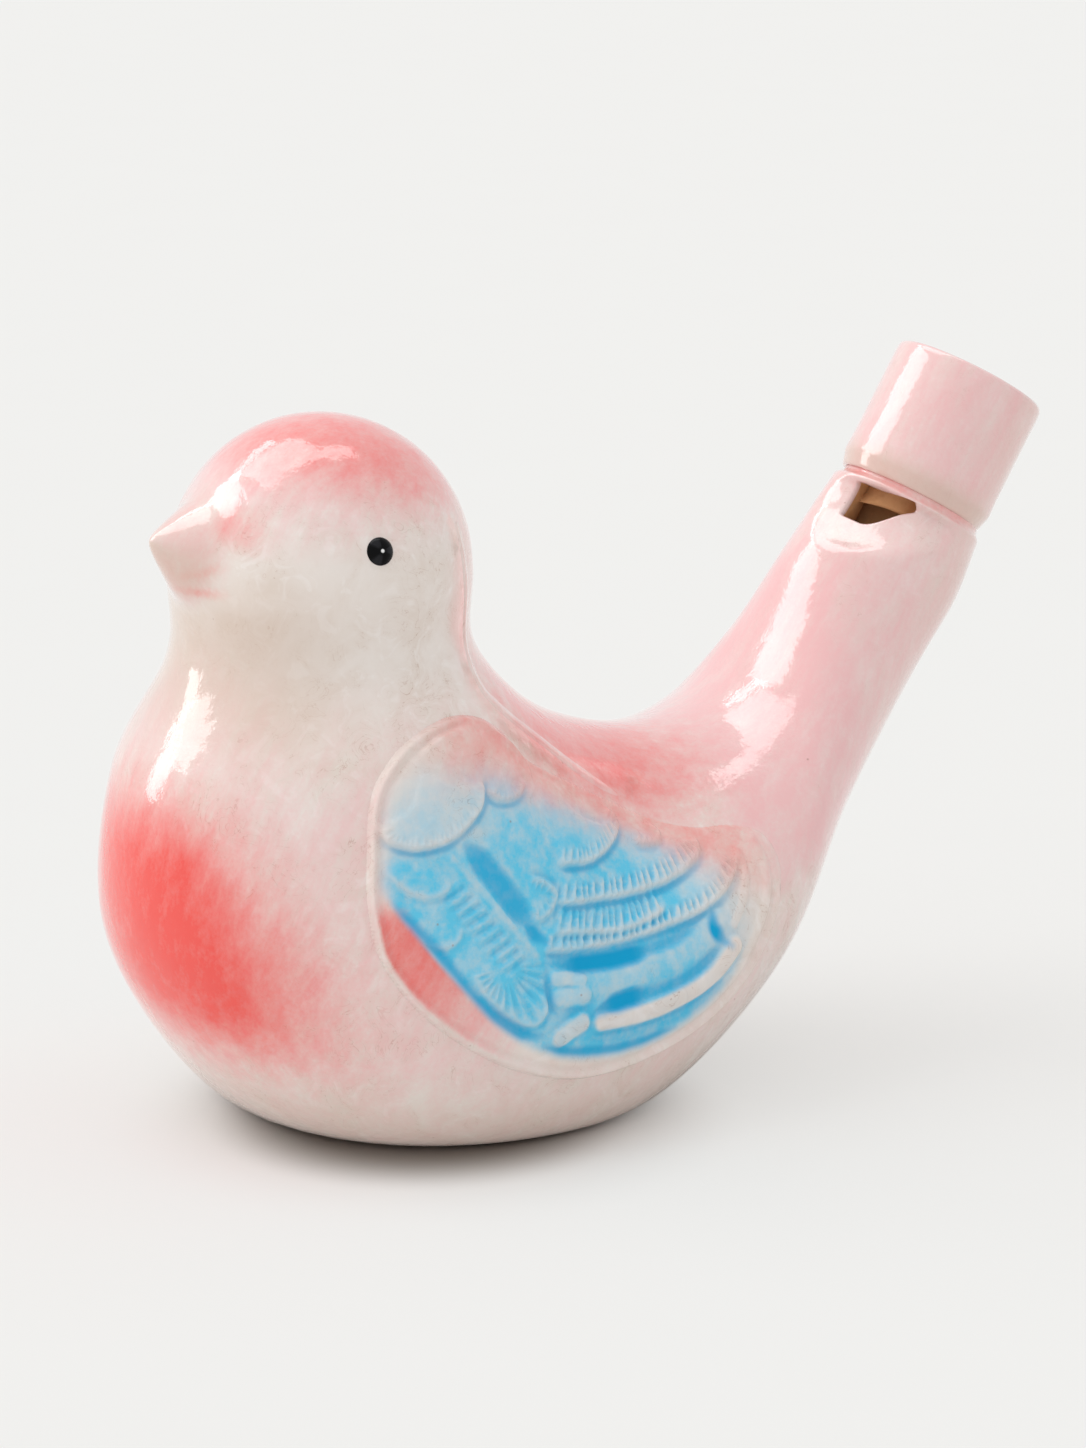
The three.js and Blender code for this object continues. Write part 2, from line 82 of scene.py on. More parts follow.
def remap(tree, value, span, ends, smooth=False):
    curve = "SMOOTHSTEP" if smooth else "LINEAR"
    inputs = dict(enumerate((value, *span, *ends)))
    return addNode(tree, "MapRange", inputs, interpolation_type=curve).outputs[0]


def sums(tree, operation, *values, clamp=False):
    inputs = dict(enumerate(values))
    return addNode(tree, "Math", inputs, operation=operation, use_clamp=clamp).outputs[0]


def mixTone(tree, share, under, over):
    tones = [linearColour(tone) if isinstance(tone, str) else tone for tone in (under, over)]
    inputs = {0: share, 6: tones[0], 7: tones[1]}
    return addNode(tree, "Mix", inputs, data_type="RGBA").outputs[2]


def bump(tree, height, strength, depthMm):
    inputs = {"Height": height, "Strength": strength, "Distance": depthMm * mm}
    return addNode(tree, "Bump", inputs).outputs[0]


def ease(low, high, value):
    share = np.clip((value - low) / (high - low), 0, 1)
    return share * share * (3 - 2 * share)


def bell(value, middle, half):
    return np.exp(-((value - middle) / half) ** 2)


def blendMax(a, b, width):
    overlap = np.maximum(width - np.abs(a - b), 0) / width
    return np.maximum(a, b) + overlap * overlap * width / 4


def smoothRows(rows, place):
    # points on a smooth line through the rows, one row to each whole place
    rows = np.asarray(rows, float)
    padded = np.vstack([2 * rows[0] - rows[1], rows, 2 * rows[-1] - rows[-2]])
    low = np.clip(np.floor(place).astype(int), 0, len(rows) - 2)
    t = (place - low)[..., None]
    before, here, there, after = (padded[low + k] for k in range(4))
    leave, arrive = (there - before) / 2, (after - here) / 2
    return ((2 * t**3 - 3 * t**2 + 1) * here + (t**3 - 2 * t**2 + t) * leave
            + (3 * t**2 - 2 * t**3) * there + (t**3 - t**2) * arrive)


# the bird's form in mm: the head's ball, sections down the body, and the round end of the tail
bird = {
    "headX": -24.05, "headZ": 43.3, "headRadius": 11.7,
    # back x, back z, front x, front z, half width, egg shape
    "neck": (-12.35, 37.6, -36.0, 36.4, 11.5, 0),
    "shoulder": (-9.35, 33.2, -40.5, 26.8, 15.4, 0.03),
    "breast": (-4.55, 29.7, -40.35, 12.6, 18.6, 0.08),
    "flank": (1.85, 27.5, -29.2, -0.7, 20.4, 0.26),
    "belly": (8.15, 27.3, -10.95, -4.9, 19.4, 0.16),
    "rump": (13.05, 29.6, 7.6, 3.3, 15.2, 0.12),
    "tailRoot": (16.45, 34.2, 19.5, 17.1, 10.2, 0.05),
    "tail": (19.2, 39.1, 28.7, 28.4, 7.5, 0),
    "tailEndX": 29.75, "tailEndZ": 42.25, "tailTilt": 31.3,
    "tailStraight": 5.0, "tailStraightRadius": 7.05, "tailEndRadius": 6.5, "tailEndShift": 0.1,
}

tilt = math.radians(bird["tailTilt"])
tailAlong = np.array([math.sin(tilt), 0, math.cos(tilt)])
tailAcross = np.array([math.cos(tilt), 0, -math.sin(tilt)])
tailEnd = np.array([bird["tailEndX"], 0, bird["tailEndZ"]])
sideways = np.array([0, 1, 0])


def headSection(angle):
    radius = bird["headRadius"] * math.sin(angle)
    height = bird["headZ"] + bird["headRadius"] * math.cos(angle)
    return (bird["headX"] + radius, height, bird["headX"] - radius, height, radius, 0)


def tailSection(middle, radius):
    back, front = middle - tailAcross * radius, middle + tailAcross * radius
    return (back[0], back[2], front[0], front[2], radius, 0)


sections = np.array([
    headSection(math.radians(60)), headSection(math.radians(90)),
    bird["neck"], bird["shoulder"], bird["breast"], bird["flank"],
    bird["belly"], bird["rump"], bird["tailRoot"], bird["tail"],
    tailSection(tailEnd - tailAlong * bird["tailStraight"], bird["tailStraightRadius"]),
    tailSection(tailEnd + tailAcross * bird["tailEndShift"], bird["tailEndRadius"]),
])
lastPlace = len(sections) - 2  # places count from the widest ring of the head
straightPlace = lastPlace - 1  # where the tail's straight end begins


def flankDepth(x, z, halvings=26):
    # half the bird's width at a point seen from the side, below zero outside the bird
    low, high = np.zeros(x.shape), np.full(x.shape, float(lastPlace))
    for turn in range(halvings):
        middle = (low + high) / 2
        s = smoothRows(sections, middle + 1)
        wideX, wideZ = s[..., 2] - s[..., 0], s[..., 3] - s[..., 1]
        past = wideX * (z - s[..., 1]) - wideZ * (x - s[..., 0]) > 0
        low, high = np.where(past, middle, low), np.where(past, high, middle)
    s = smoothRows(sections, low + 1)
    halfX, halfZ = (s[..., 2] - s[..., 0]) / 2, (s[..., 3] - s[..., 1]) / 2
    share = ((x - s[..., 0] - halfX) * halfX + (z - s[..., 1] - halfZ) * halfZ) / (halfX**2 + halfZ**2)
    body = s[..., 4] * np.sqrt(np.clip(1 - share**2, 0, 1)) * (1 + s[..., 5] * share)
    body = np.where(np.abs(share) > 1, 1 - np.abs(share), body)
    ball = bird["headRadius"]**2 - (x - bird["headX"])**2 - (z - bird["headZ"])**2
    head = np.where(ball > 0, np.sqrt(np.abs(ball)), -0.1)
    return np.where((z > bird["headZ"]) & (x < 0), head, body)


# airbrushed underglaze: each patch's share, and the mm along, across and up between which it fades in or out
airbrush = {
    "breast": {"share": 1.0, "x": [(-14, -26)], "z": [(4.5, 13.0), (32.0, 22.0)]},
    "breastHalf": 20.0, "breastFade": 11.0, "breastNarrowsFrom": 16, "breastNarrowing": 0.45,
    "crown": {"share": 0.58, "x": [(-4, -12)]},
    "crownEdge": (47.8, 53.6), "crownLean": 0.2, "crownMiddle": -24,
    "saddle": {"share": 0.78, "x": [(-18, -8), (11, -4)], "y": [(17, 6)], "z": [(17, 25)]},
    "rose": {
        "halo": {"share": 0.45, "x": [(-14, -26)], "z": [(2, 9), (38, 24)]},
        # the throat's rose is partly painted shade under the beak
        "throatRoseAndShade": {"share": 0.6, "x": [(-30, -37)], "z": [(26, 33), (41, 34)]},
        "tail": {"share": 0.57, "x": [(2, 16)], "z": [(9, 24)]},
        "tailRoot": {"share": 0.9, "x": [(1, 8), (25, 18)], "z": [(13, 21)]},
        "upper": {"share": 0.7, "x": [(-20, -10)], "y": [(19, 7)], "z": [(17, 25)]},
        "head": {"share": 0.7, "x": [(-4, -12)], "z": [(45, 52)]},
        "blush": {"share": 0.22, "z": [(38, 30)]},
    },
    # a pink spot on each side of the beak's root
    "cheekX": -33.8, "cheekZ": 48.0, "cheekStretch": 1.1, "cheekReach": (2.4, 0.2), "cheekSides": (1.5, 4.0),
    "cheekCoral": 0.3, "cheekRose": 0.6,
    # buff under the chin, under the tail and round the foot: partly the buff clay showing through thin slip,
    # partly painted shade on these undersides
    "buffAndPaintedShade": 0.6,
    "underChinBuffAndShade": {"share": 1.0, "x": [(-25, -34)], "z": [(28, 36), (47, 40)]},
    "underTailBuffAndShade": {"share": 0.45, "x": [(6, 16)]}, "underTailBuffAndShadeSide": (-1, 5),
    "foot": {"share": 0.6, "z": [(9, 1)]},
}


def patch(points, share, **fades):
    reach = {"x": points[:, 0], "y": np.abs(points[:, 1]), "z": points[:, 2]}
    for axis, spans in fades.items():
        for span in spans:
            share = share * ease(*span, reach[axis])
    return share


def spray(points):
    x, y, z = points[:, 0], np.abs(points[:, 1]), points[:, 2]
    above = np.maximum(z - airbrush["breastNarrowsFrom"], 0)
    edge = airbrush["breastHalf"] - airbrush["breastNarrowing"] * above
    breast = patch(points, **airbrush["breast"]) * ease(edge, edge - airbrush["breastFade"], y)
    leaning = z + airbrush["crownLean"] * (x - airbrush["crownMiddle"])
    crown = patch(points, **airbrush["crown"]) * ease(*airbrush["crownEdge"], leaning)
    fromCheek = np.hypot((x - airbrush["cheekX"]) / airbrush["cheekStretch"], z - airbrush["cheekZ"])
    cheek = ease(*airbrush["cheekReach"], fromCheek) * ease(*airbrush["cheekSides"], y)
    saddle = patch(points, **airbrush["saddle"])
    rose = [patch(points, **row) for row in airbrush["rose"].values()]
    underTailBuffAndShade = ease(*airbrush["underTailBuffAndShadeSide"], (points - tailEnd) @ tailAcross)
    underTailBuffAndShade = underTailBuffAndShade * patch(points, **airbrush["underTailBuffAndShade"])
    # buff and painted shade on the undersides: chin, tail and foot
    thin = [patch(points, **airbrush["underChinBuffAndShade"]), underTailBuffAndShade, patch(points, **airbrush["foot"])]
    colours = np.zeros((len(points), 4))
    colours[:, 0] = np.maximum.reduce([breast, crown, saddle, airbrush["cheekCoral"] * cheek])
    colours[:, 1] = np.maximum.reduce(rose + [airbrush["cheekRose"] * cheek])
    colours[:, 3] = airbrush["buffAndPaintedShade"] * np.maximum.reduce(thin)
    return colours


def gridMesh(columns, rows, place):
    # a flat grid moved to where place puts each of its columns and rows
    bm = bmesh.new()
    bmesh.ops.create_grid(bm, x_segments=columns, y_segments=rows, size=1.0)
    flat = np.array([v.co for v in bm.verts])
    column = np.rint((flat[:, 0] + 1) / 2 * columns).astype(int)
    row = np.rint((flat[:, 1] + 1) / 2 * rows).astype(int)
    points, colours = place(column, row)
    layer = bm.verts.layers.float_color.new("spray")
    for vert, point, colour in zip(bm.verts, points, colours):
        vert.co = point * mm
        vert[layer] = colour
    return bm, column, row


def spunMesh(profile, steps):
    # radius and height in mm, spun once round
    bm = bmesh.new()
    verts = [bm.verts.new((r * mm, 0, h * mm)) for r, h in profile]
    edges = [bm.edges.new(pair) for pair in zip(verts, verts[1:])]
    bmesh.ops.spin(bm, geom=verts + edges, cent=(0, 0, 0), axis=(0, 0, 1), angle=2 * math.pi,
                   steps=steps, use_merge=True)
    return bm


def makePiece(name, bm, materials, nodes, outwards=None):
    bmesh.ops.remove_doubles(bm, verts=bm.verts, dist=1e-6)
    bmesh.ops.recalc_face_normals(bm, faces=bm.faces)
    if outwards is not None and sum(f.normal.dot(Vector(outwards)) for f in bm.faces) < 0:
        bmesh.ops.reverse_faces(bm, faces=bm.faces)
    mesh = bpy.data.meshes.new(name)
    bm.to_mesh(mesh)
    bm.free()
    for material in materials:
        mesh.materials.append(material)
    mesh.shade_smooth()
    piece = bpy.data.objects.new(name, mesh)
    scene.collection.objects.link(piece)
    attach(piece, "root")
    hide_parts(*nodes)
    return piece


def addModifier(piece, kind, **settings):
    modifier = piece.modifiers.new(kind.title(), kind)
    for name, value in settings.items():
        setattr(modifier, name, value)


# clear glaze fired over sprayed colours on cream slip: a wet gloss, with soft colour edges under it
glaze = {
    # buff is also laid on the undersides as painted shade
    "cream": "#f0e7e0", "creamWarm": "#dfcdbf", "flake": "#f8f2ee", "rose": "#f3bfbf", "coral": "#f5473c",
    "blue": "#66cef0", "deepBlue": "#00a8dc", "buffAndPaintedShade": "#d8c0ae", "speck": "#9a6248", "hair": "#b08468",
    "mottleMm": 4.0, "cloudMm": 1.2, "flakeMm": 2.6, "brushMm": 1.6, "brushStretch": 4.0, "sprayMm": 0.35,
    "speckMm": 4.0, "rippleMm": 5.0, "rippleDepth": 0.25, "rippleStrength": 0.5,
    "roughness": 0.16, "coatRoughness": 0.025, "ior": 1.5,
    # the noise at which each mark starts and is full, and how strong it is
    "warmNoise": (0.3, 0.75), "flakeNoise": (0.55, 0.64), "flakeShare": 0.42,
    "hairNoise": 0.47, "hairWidth": 0.006, "hairPatches": (0.45, 0.65), "hairShare": 0.5,
    "spatterShare": 0.3, "edgeGain": 4.0, "cloudNoise": (0.3, 0.72), "cloudShares": (1.1, 0.7),
    "speckSize": (0.012, 0.032), "speckShare": 0.45,
    # how far the noise moves the edge of each colour, and the noise that moves it nowhere
    "swing": {"rose": 1.2, "coral": 0.55}, "stillNoise": 0.65,
}


def glazeMaterial(name, warmth, gloss, alphaTone):
    material, tree, where = newMaterial(name)
    sprayed = addNode(tree, "Attribute", {}, attribute_name="spray")
    coral, rose, blue = addNode(tree, "SeparateColor", {0: sprayed.outputs["Color"]}).outputs
    mottle = noise(tree, where, glaze["mottleMm"], 5.0, roughness=0.62, distortion=0.6)
    warm = remap(tree, mottle, glaze["warmNoise"], (0.0, warmth), smooth=True)
    tone = mixTone(tree, warm, glaze["cream"], glaze["creamWarm"])
    # flakes of paler slip with crisp edges, and fine brown hairs between them
    chips = noise(tree, where, glaze["flakeMm"], 3.0, roughness=0.6, distortion=1.6)
    flakes = remap(tree, chips, glaze["flakeNoise"], (0.0, glaze["flakeShare"]))
    tone = mixTone(tree, flakes, tone, glaze["flake"])
    contour = sums(tree, "COMPARE", chips, glaze["hairNoise"], glaze["hairWidth"])
    faint = remap(tree, mottle, glaze["hairPatches"], (0.0, glaze["hairShare"]))
    hairs = sums(tree, "MULTIPLY", contour, faint)
    tone = mixTone(tree, hairs, tone, glaze["hair"])
    # the gun's fine spatter breaks up the edge of each sprayed patch, and the brush leaves streaks
    spatter = noise(tree, where, glaze["sprayMm"], 2.0, roughness=0.7)
    lengthways = addNode(tree, "Mapping", {
        "Vector": where, "Scale": (glaze["brushStretch"], 1.0, 1.0),
        "Rotation": (0, tilt - math.pi / 2, 0)}, vector_type="TEXTURE").outputs[0]
    streaks = noise(tree, lengthways, glaze["brushMm"], 4.0, roughness=0.65)
    uneven = sums(tree, "MULTIPLY_ADD", spatter, glaze["spatterShare"], streaks)
    for share, colour in ((rose, "rose"), (coral, "coral")):
        # noise only moves the soft edge: none where nothing was sprayed
        swing = glaze["swing"][colour]
        shift = sums(tree, "MULTIPLY_ADD", uneven, swing, -glaze["stillNoise"] * swing)
        painted = sums(tree, "MULTIPLY", share, glaze["edgeGain"], clamp=True)
        moved = sums(tree, "MULTIPLY_ADD", shift, painted, share, clamp=True)
        tone = mixTone(tree, moved, tone, glaze[colour])
    # the blue lies thick and thin in patches
    clouds = noise(tree, where, glaze["cloudMm"], 4.0, roughness=0.6)
    thin = remap(tree, clouds, glaze["cloudNoise"], glaze["cloudShares"], smooth=True)
    frosted = sums(tree, "MULTIPLY", sums(tree, "ADD", shift, thin), blue, clamp=True)
    tone = mixTone(tree, frosted, tone, glaze["blue"])
    # the alpha channel lays buff, partly painted shade, on the body, and pooled deep blue on the wing
    tone = mixTone(tree, sprayed.outputs["Alpha"], tone, glaze[alphaTone])
    # iron specks in the clay that come up through the slip
    specks = addNode(tree, "TexVoronoi", {"Vector": where, "Scale": 1 / (glaze["speckMm"] * mm)})
    dots = remap(tree, specks.outputs["Distance"], glaze["speckSize"], (glaze["speckShare"], 0.0))
    tone = mixTone(tree, dots, tone, glaze["speck"])
    # the glaze lies a little wavy, so reflections have wandering edges
    ripple = noise(tree, where, glaze["rippleMm"], 5.0, roughness=0.6)
    waves = bump(tree, ripple, glaze["rippleStrength"], glaze["rippleDepth"])
    return surfaced(material, tree, "BsdfPrincipled", {
        "Base Color": tone, "Roughness": glaze["roughness"], "IOR": glaze["ior"], "Normal": waves,
        "Specular IOR Level": 0.5 * gloss, "Coat Weight": gloss, "Coat IOR": glaze["ior"],
        "Coat Roughness": glaze["coatRoughness"], "Coat Normal": waves})


def clayMaterial():
    # unglazed fired clay inside the whistle: dull, sandy and brown
    clay = {"pale": "#d8a676", "dark": "#bf8a5a", "grainMm": 0.5, "grainDepth": 0.1, "grainStrength": 0.4}
    material, tree, where = newMaterial("bareFiredClay")
    grain = noise(tree, where, clay["grainMm"], 4.0)
    rough = bump(tree, grain, clay["grainStrength"], clay["grainDepth"])
    return surfaced(material, tree, "BsdfPrincipled", {
        "Base Color": mixTone(tree, grain, clay["dark"], clay["pale"]), "Roughness": 0.85, "IOR": 1.45,
        "Normal": rough})


slipGlaze = glazeMaterial("sprayedClearGlaze", warmth=0.6, gloss=1.0, alphaTone="buffAndPaintedShade")
wingGlaze = glazeMaterial("pooledWingGlaze", warmth=0.4, gloss=0.15, alphaTone="deepBlue")
bareClay = clayMaterial()
print("materials made")

# the whole skin from crown to neck of the tail, with the window and its scooped bowl
skin = {
    "sides": 112, "domeRows": 16, "rowsPerSection": 7, "rowsInTail": 12, "rowsAtWindow": 20,
    "wall": 2.6, "footRound": 0.45, "footDip": 0.4, "footDipHeights": (9, 1),
    "windowTwist": 34.0, "windowColumns": 7,
    # the window's lip: lowest, where the climb to it starts, how high its near end rises, and between where
    "lipLow": -3.2, "lipFrom": -7, "lipRise": 2.6, "lipRises": (-0.8, 3.0), "lipFalls": (6.2, 3.0),
    # the bowl round the window: middle across and along the tail, climb, half width, half height,
    # depth, softness of its rim
    "bowl": (0.6, -1.7, 0.3, 6.3, 4.4, 1.7, 0.06), "bowlTop": (0.2, -0.7),
    "tailFrom": -12, "tailFromX": 10,  # how far down the tail and forward the window's shaping may reach
    # little colour stayed in the bowl, and the groove under the mouthpiece is tinted coral
    "bowlPale": 0.3, "bowlPaleEdge": (-0.1, 0.5), "grooveCoral": 0.25,
    # the neck above the tail's end, under the mouthpiece: height along the tail, radius, shift
    "neck": [(0.16, 6.3, 0.14), (0.34, 6.12, 0.18), (0.52, 6.0, 0.2), (0.7, 5.98, 0.2), (0.9, 6.0, 0.18),
             (2.6, 4.5, 0.0)],
}
twist = math.radians(skin["windowTwist"])
windowOut = -tailAcross * math.cos(twist) - sideways * math.sin(twist)
windowSide = np.cross(tailAlong, windowOut)

bodyRows = (straightPlace - 1) * skin["rowsPerSection"]
skinPlaces = [-1 + row / skin["domeRows"] for row in range(skin["domeRows"])]
skinPlaces += [row / skin["rowsPerSection"] for row in range(bodyRows)]
skinPlaces += [straightPlace - 1 + row / skin["rowsInTail"] for row in range(skin["rowsInTail"])]
skinPlaces += [straightPlace + row / skin["rowsAtWindow"] for row in range(skin["rowsAtWindow"] + 1)]
skinPlaces = np.array(skinPlaces)
skinRows = len(skinPlaces) + len(skin["neck"]) - 1
endRow = len(skinPlaces) - 1
lipRow = endRow - round(-skin["lipLow"] / bird["tailStraight"] * skin["rowsAtWindow"])
columnStep = 2 * math.pi / skin["sides"]
windowColumn = round((math.pi + twist) / columnStep)


def skinPoints(column, row):
    angle = math.pi + twist + (column - windowColumn) * columnStep
    place = skinPlaces[np.minimum(row, endRow)]
    s = smoothRows(sections, np.maximum(place, 0) + 1)
    dome = np.clip(1 + place, 0, 1) * math.pi / 2
    radius = bird["headRadius"] * np.sin(dome)
    height = bird["headZ"] + bird["headRadius"] * np.cos(dome)
    onDome = place < 0
    back = np.where(onDome[:, None], np.stack([bird["headX"] + radius, height], -1), s[:, 0:2])
    front = np.where(onDome[:, None], np.stack([bird["headX"] - radius, height], -1), s[:, 2:4])
    half = np.where(onDome, radius, s[:, 4])
    side = (back + front) / 2 + (front - back) / 2 * np.cos(angle)[:, None]
    across = half * np.sin(angle) * (1 + np.where(onDome, 0, s[:, 5]) * np.cos(angle))
    points = np.stack([side[:, 0], across, side[:, 1]], -1)
    for index, (height, radius, shift) in enumerate(skin["neck"]):
        ring = row == endRow + 1 + index
        spoke = tailAcross * np.cos(angle[ring])[:, None] + sideways * np.sin(angle[ring])[:, None]
        points[ring] = tailEnd + tailAlong * height + tailAcross * shift + spoke * radius

    # the tail's last rows lie square to it, and climb where the window's lip rises at its near end
    offset = points - tailEnd
    along, out, aside = offset @ tailAlong, offset @ windowOut, offset @ windowSide
    square = np.where(place >= straightPlace, bird["tailStraight"] * (place - lastPlace), along)
    square = np.where(row > endRow, along, square)
    lipLow = skin["lipLow"]
    lift = skin["lipRise"] * ease(*skin["lipRises"], aside) * ease(*skin["lipFalls"], aside)
    near = np.where(square > lipLow, np.clip(square / lipLow, 0, 1), ease(skin["lipFrom"], lipLow, square))
    square = square + lift * near * (out > 0)
    # the bowl: deepest at the window, with a soft rim
    bowlAside, bowlAlong, climb, halfWide, halfTall, depth, rim = skin["bowl"]
    bowlUp = square - bowlAlong - climb * aside
    inBowl = 1 - ((aside - bowlAside) / halfWide) ** 2 - (bowlUp / halfTall) ** 2
    scoop = depth * rim * np.logaddexp(0, inBowl / rim) * ease(*skin["bowlTop"], square)
    inTail = (along > skin["tailFrom"]) & (points[:, 0] > skin["tailFromX"])
    atWindow = inTail & (out > 0)
    out = np.where(atWindow, out - scoop, out)
    moved = tailEnd + tailAlong * square[:, None] + windowOut * out[:, None] + windowSide * aside[:, None]
    points = np.where(inTail[:, None], moved, points)
    # the foot flattens where the wet clay stood, with a soft edge
    k = skin["footRound"]
    sagged = points[:, 2] - skin["footDip"] * ease(*skin["footDipHeights"], points[:, 2])
    points[:, 2] = k * np.logaddexp(0, sagged / k)
    colours = spray(points)
    colours[:, 1] *= 1 - skin["bowlPale"] * atWindow * ease(*skin["bowlPaleEdge"], inBowl)
    colours[:, 0] = np.maximum(colours[:, 0], skin["grooveCoral"] * (row > endRow))
    return points, colours


bm, column, row = gridMesh(skin["sides"], skinRows, skinPoints)
bm.faces.ensure_lookup_table()
bm.verts.index_update()
inside = np.abs(column - windowColumn) <= skin["windowColumns"]
inside &= (row >= lipRow) & (row < endRow - 1)
hole = [f for f in bm.faces if all(inside[v.index] for v in f.verts)]
bmesh.ops.delete(bm, geom=hole, context="FACES")
birdSkin = makePiece("birdSkin", bm, [slipGlaze, bareClay],
                     ["body_shell_left", "body_shell_right", "window_collar"])
addModifier(birdSkin, "SOLIDIFY", thickness=skin["wall"] * mm, offset=-1.0, material_offset=1,
            material_offset_rim=1)
addModifier(birdSkin, "SUBSURF", levels=1, render_levels=1)
print("skin", len(birdSkin.data.polygons), "faces")

# a raised line where wet slip was drawn from the nape down over the top of the wing
seam = {
    "line": [(-16.6, 47.2), (-15.9, 41.2), (-15.6, 35.3), (-14.0, 32.9), (-10.7, 30.1), (-6.9, 26.9),
             (-3.5, 24.5)],
    "columns": 110, "rows": 8, "half": 0.42, "height": 0.13, "sink": 0.08,
    "startColumns": 12, "endColumns": 20, "coral": 0.6,
}


def seamPoints(column, row):
    columns = seam["columns"]
    path = smoothRows(seam["line"], np.linspace(0, len(seam["line"]) - 1, columns + 1))
    run = np.gradient(path, axis=0)
    run /= np.linalg.norm(run, axis=1, keepdims=True)
    across = 2 * row / seam["rows"] - 1
    taper = ease(0, seam["startColumns"], column) * ease(columns, columns - seam["endColumns"], column)
    x = path[column, 0] - run[column, 1] * across * seam["half"]
    z = path[column, 1] + run[column, 0] * across * seam["half"]
    depth = flankDepth(x, z) + seam["height"] * taper * (1 - across**2) - seam["sink"] * across**2
    points = np.stack([x, -depth, z], -1)
    colours = spray(points)
    colours[:, 0] *= seam["coral"]
    return points, colours


for name, side, node in (("seamLeft", 1, "body_shell_left"), ("seamRight", -1, "body_shell_right")):
    bm = gridMesh(seam["columns"], seam["rows"], seamPoints)[0]
    bmesh.ops.scale(bm, vec=(1, side, 1), verts=bm.verts)
    makePiece(name, bm, [slipGlaze], [node], outwards=(0, -side, 0))
print("seams made")

# beak: a blunt cone that flows up into the forehead and stops short at the chin
beak = {
    "columns": 72, "rows": 44, "rowSpread": 1.2, "reach": 7.6, "length": 3.05, "bearing": 13.0, "tilt": 13.0,
    "coneAngle": 41.0, "chinAngle": 46.0, "widening": 1.12, "tipRound": 0.7,
    "blendTop": 0.6, "blendSide": 0.7, "blendChin": 0.25, "fadeFrom": 0.75, "sink": 0.07, "sinkFrom": 0.6,
    "searchDepth": 14.0, "searchSteps": 34,
    # peach, paler at the tip and browner below, where the browner underside is painted shade: shares, then
    # what the underside adds or the tip takes
    "colourEdge": (0.68, 0.34), "undersideShade": (0.4, -0.6), "tipPale": (0.4, 2.0), "tipRose": (2.0, 0.3),
    "coral": (0.08, 0.06), "rose": (0.55, 0.25), "buffAndPaintedShade": (0.22, 0.4), "buffClear": (0.4, 0.75),
    # two strokes under each side: height and climb, then where along the bird they start and stop
    "strokes": ((42.9, 0.0), (44.4, 0.44)), "strokeMiddle": -36, "strokeHalf": (0.6, 0.1),
    "strokeStart": (-37.3, -36.3), "strokeStop": (-34.2, -35.4), "strokeCoral": 0.36,
}


def beakPoints(column, row):
    bearing, lean = math.radians(beak["bearing"]), math.radians(beak["tilt"])
    away, reach = bird["headRadius"] + beak["length"], beak["reach"]
    tip = np.array([bird["headX"] - away * math.cos(bearing), 0, bird["headZ"] + away * math.sin(bearing)])
    axis = np.array([-math.cos(lean), 0, math.sin(lean)])
    upwards = np.array([math.sin(lean), 0, math.cos(lean)])
    turn = column / beak["columns"] * 2 * math.pi
    radius = reach * (row / beak["rows"]) ** beak["rowSpread"]
    flat = (tip + upwards * (radius * np.sin(turn))[:, None]
            + sideways * (beak["widening"] * radius * np.cos(turn))[:, None])
    near, far = np.zeros(len(radius)), np.full(len(radius), beak["searchDepth"])
    for halving in range(beak["searchSteps"]):
        middle = (near + far) / 2
        spot = flat - axis * middle[:, None]
        buried = np.abs(spot[:, 1]) < flankDepth(spot[:, 0], spot[:, 2])
        near, far = np.where(buried, near, middle), np.where(buried, middle, far)
    head = -near
    up = np.sin(turn)
    opening = beak["coneAngle"] + (beak["chinAngle"] - beak["coneAngle"]) * np.maximum(-up, 0) ** 2
    cone = beak["tipRound"] - np.hypot(radius / np.tan(np.radians(opening)), beak["tipRound"])
    blend = np.where(up > 0, beak["blendTop"], beak["blendChin"])
    width = beak["blendSide"] + (blend - beak["blendSide"]) * up**2
    lift = (blendMax(head, cone, width) - head) * ease(reach, beak["fadeFrom"] * reach, radius)
    outer = radius / reach
    points = flat + axis * (head + lift - beak["sink"] * ease(beak["sinkFrom"], 1.0, outer))[:, None]
    x, z = points[:, 0], points[:, 2]
    onBeak, below = ease(*beak["colourEdge"], outer), ease(*beak["undersideShade"], up)
    strokes = np.zeros(len(x))
    for level, climb in beak["strokes"]:
        stroke = ease(*beak["strokeHalf"], np.abs(z - level - climb * (x - beak["strokeMiddle"])))
        strokes += stroke * ease(*beak["strokeStart"], x) * ease(*beak["strokeStop"], x)
    # painted shade: more peach and buff towards the beak's underside
    peach = beak["coral"][0] + beak["coral"][1] * below
    rose = beak["rose"][0] - beak["rose"][1] * ease(*beak["tipRose"], radius)
    buffAndPaintedShade = beak["buffAndPaintedShade"][0] + beak["buffAndPaintedShade"][1] * below
    colours = spray(points)
    peach = onBeak * peach * ease(*beak["tipPale"], radius)
    colours[:, 0] = np.maximum.reduce([colours[:, 0], peach, beak["strokeCoral"] * strokes])
    colours[:, 1] = np.maximum(colours[:, 1], onBeak * rose)
    colours[:, 3] = np.maximum(colours[:, 3] * ease(*beak["buffClear"], outer), onBeak * buffAndPaintedShade)
    return points, colours


bm = gridMesh(beak["columns"], beak["rows"], beakPoints)[0]
beakPiece = makePiece("beakCone", bm, [slipGlaze], ["beak"], outwards=(-1, 0, 0))
print("beak", len(beakPiece.data.polygons), "faces")

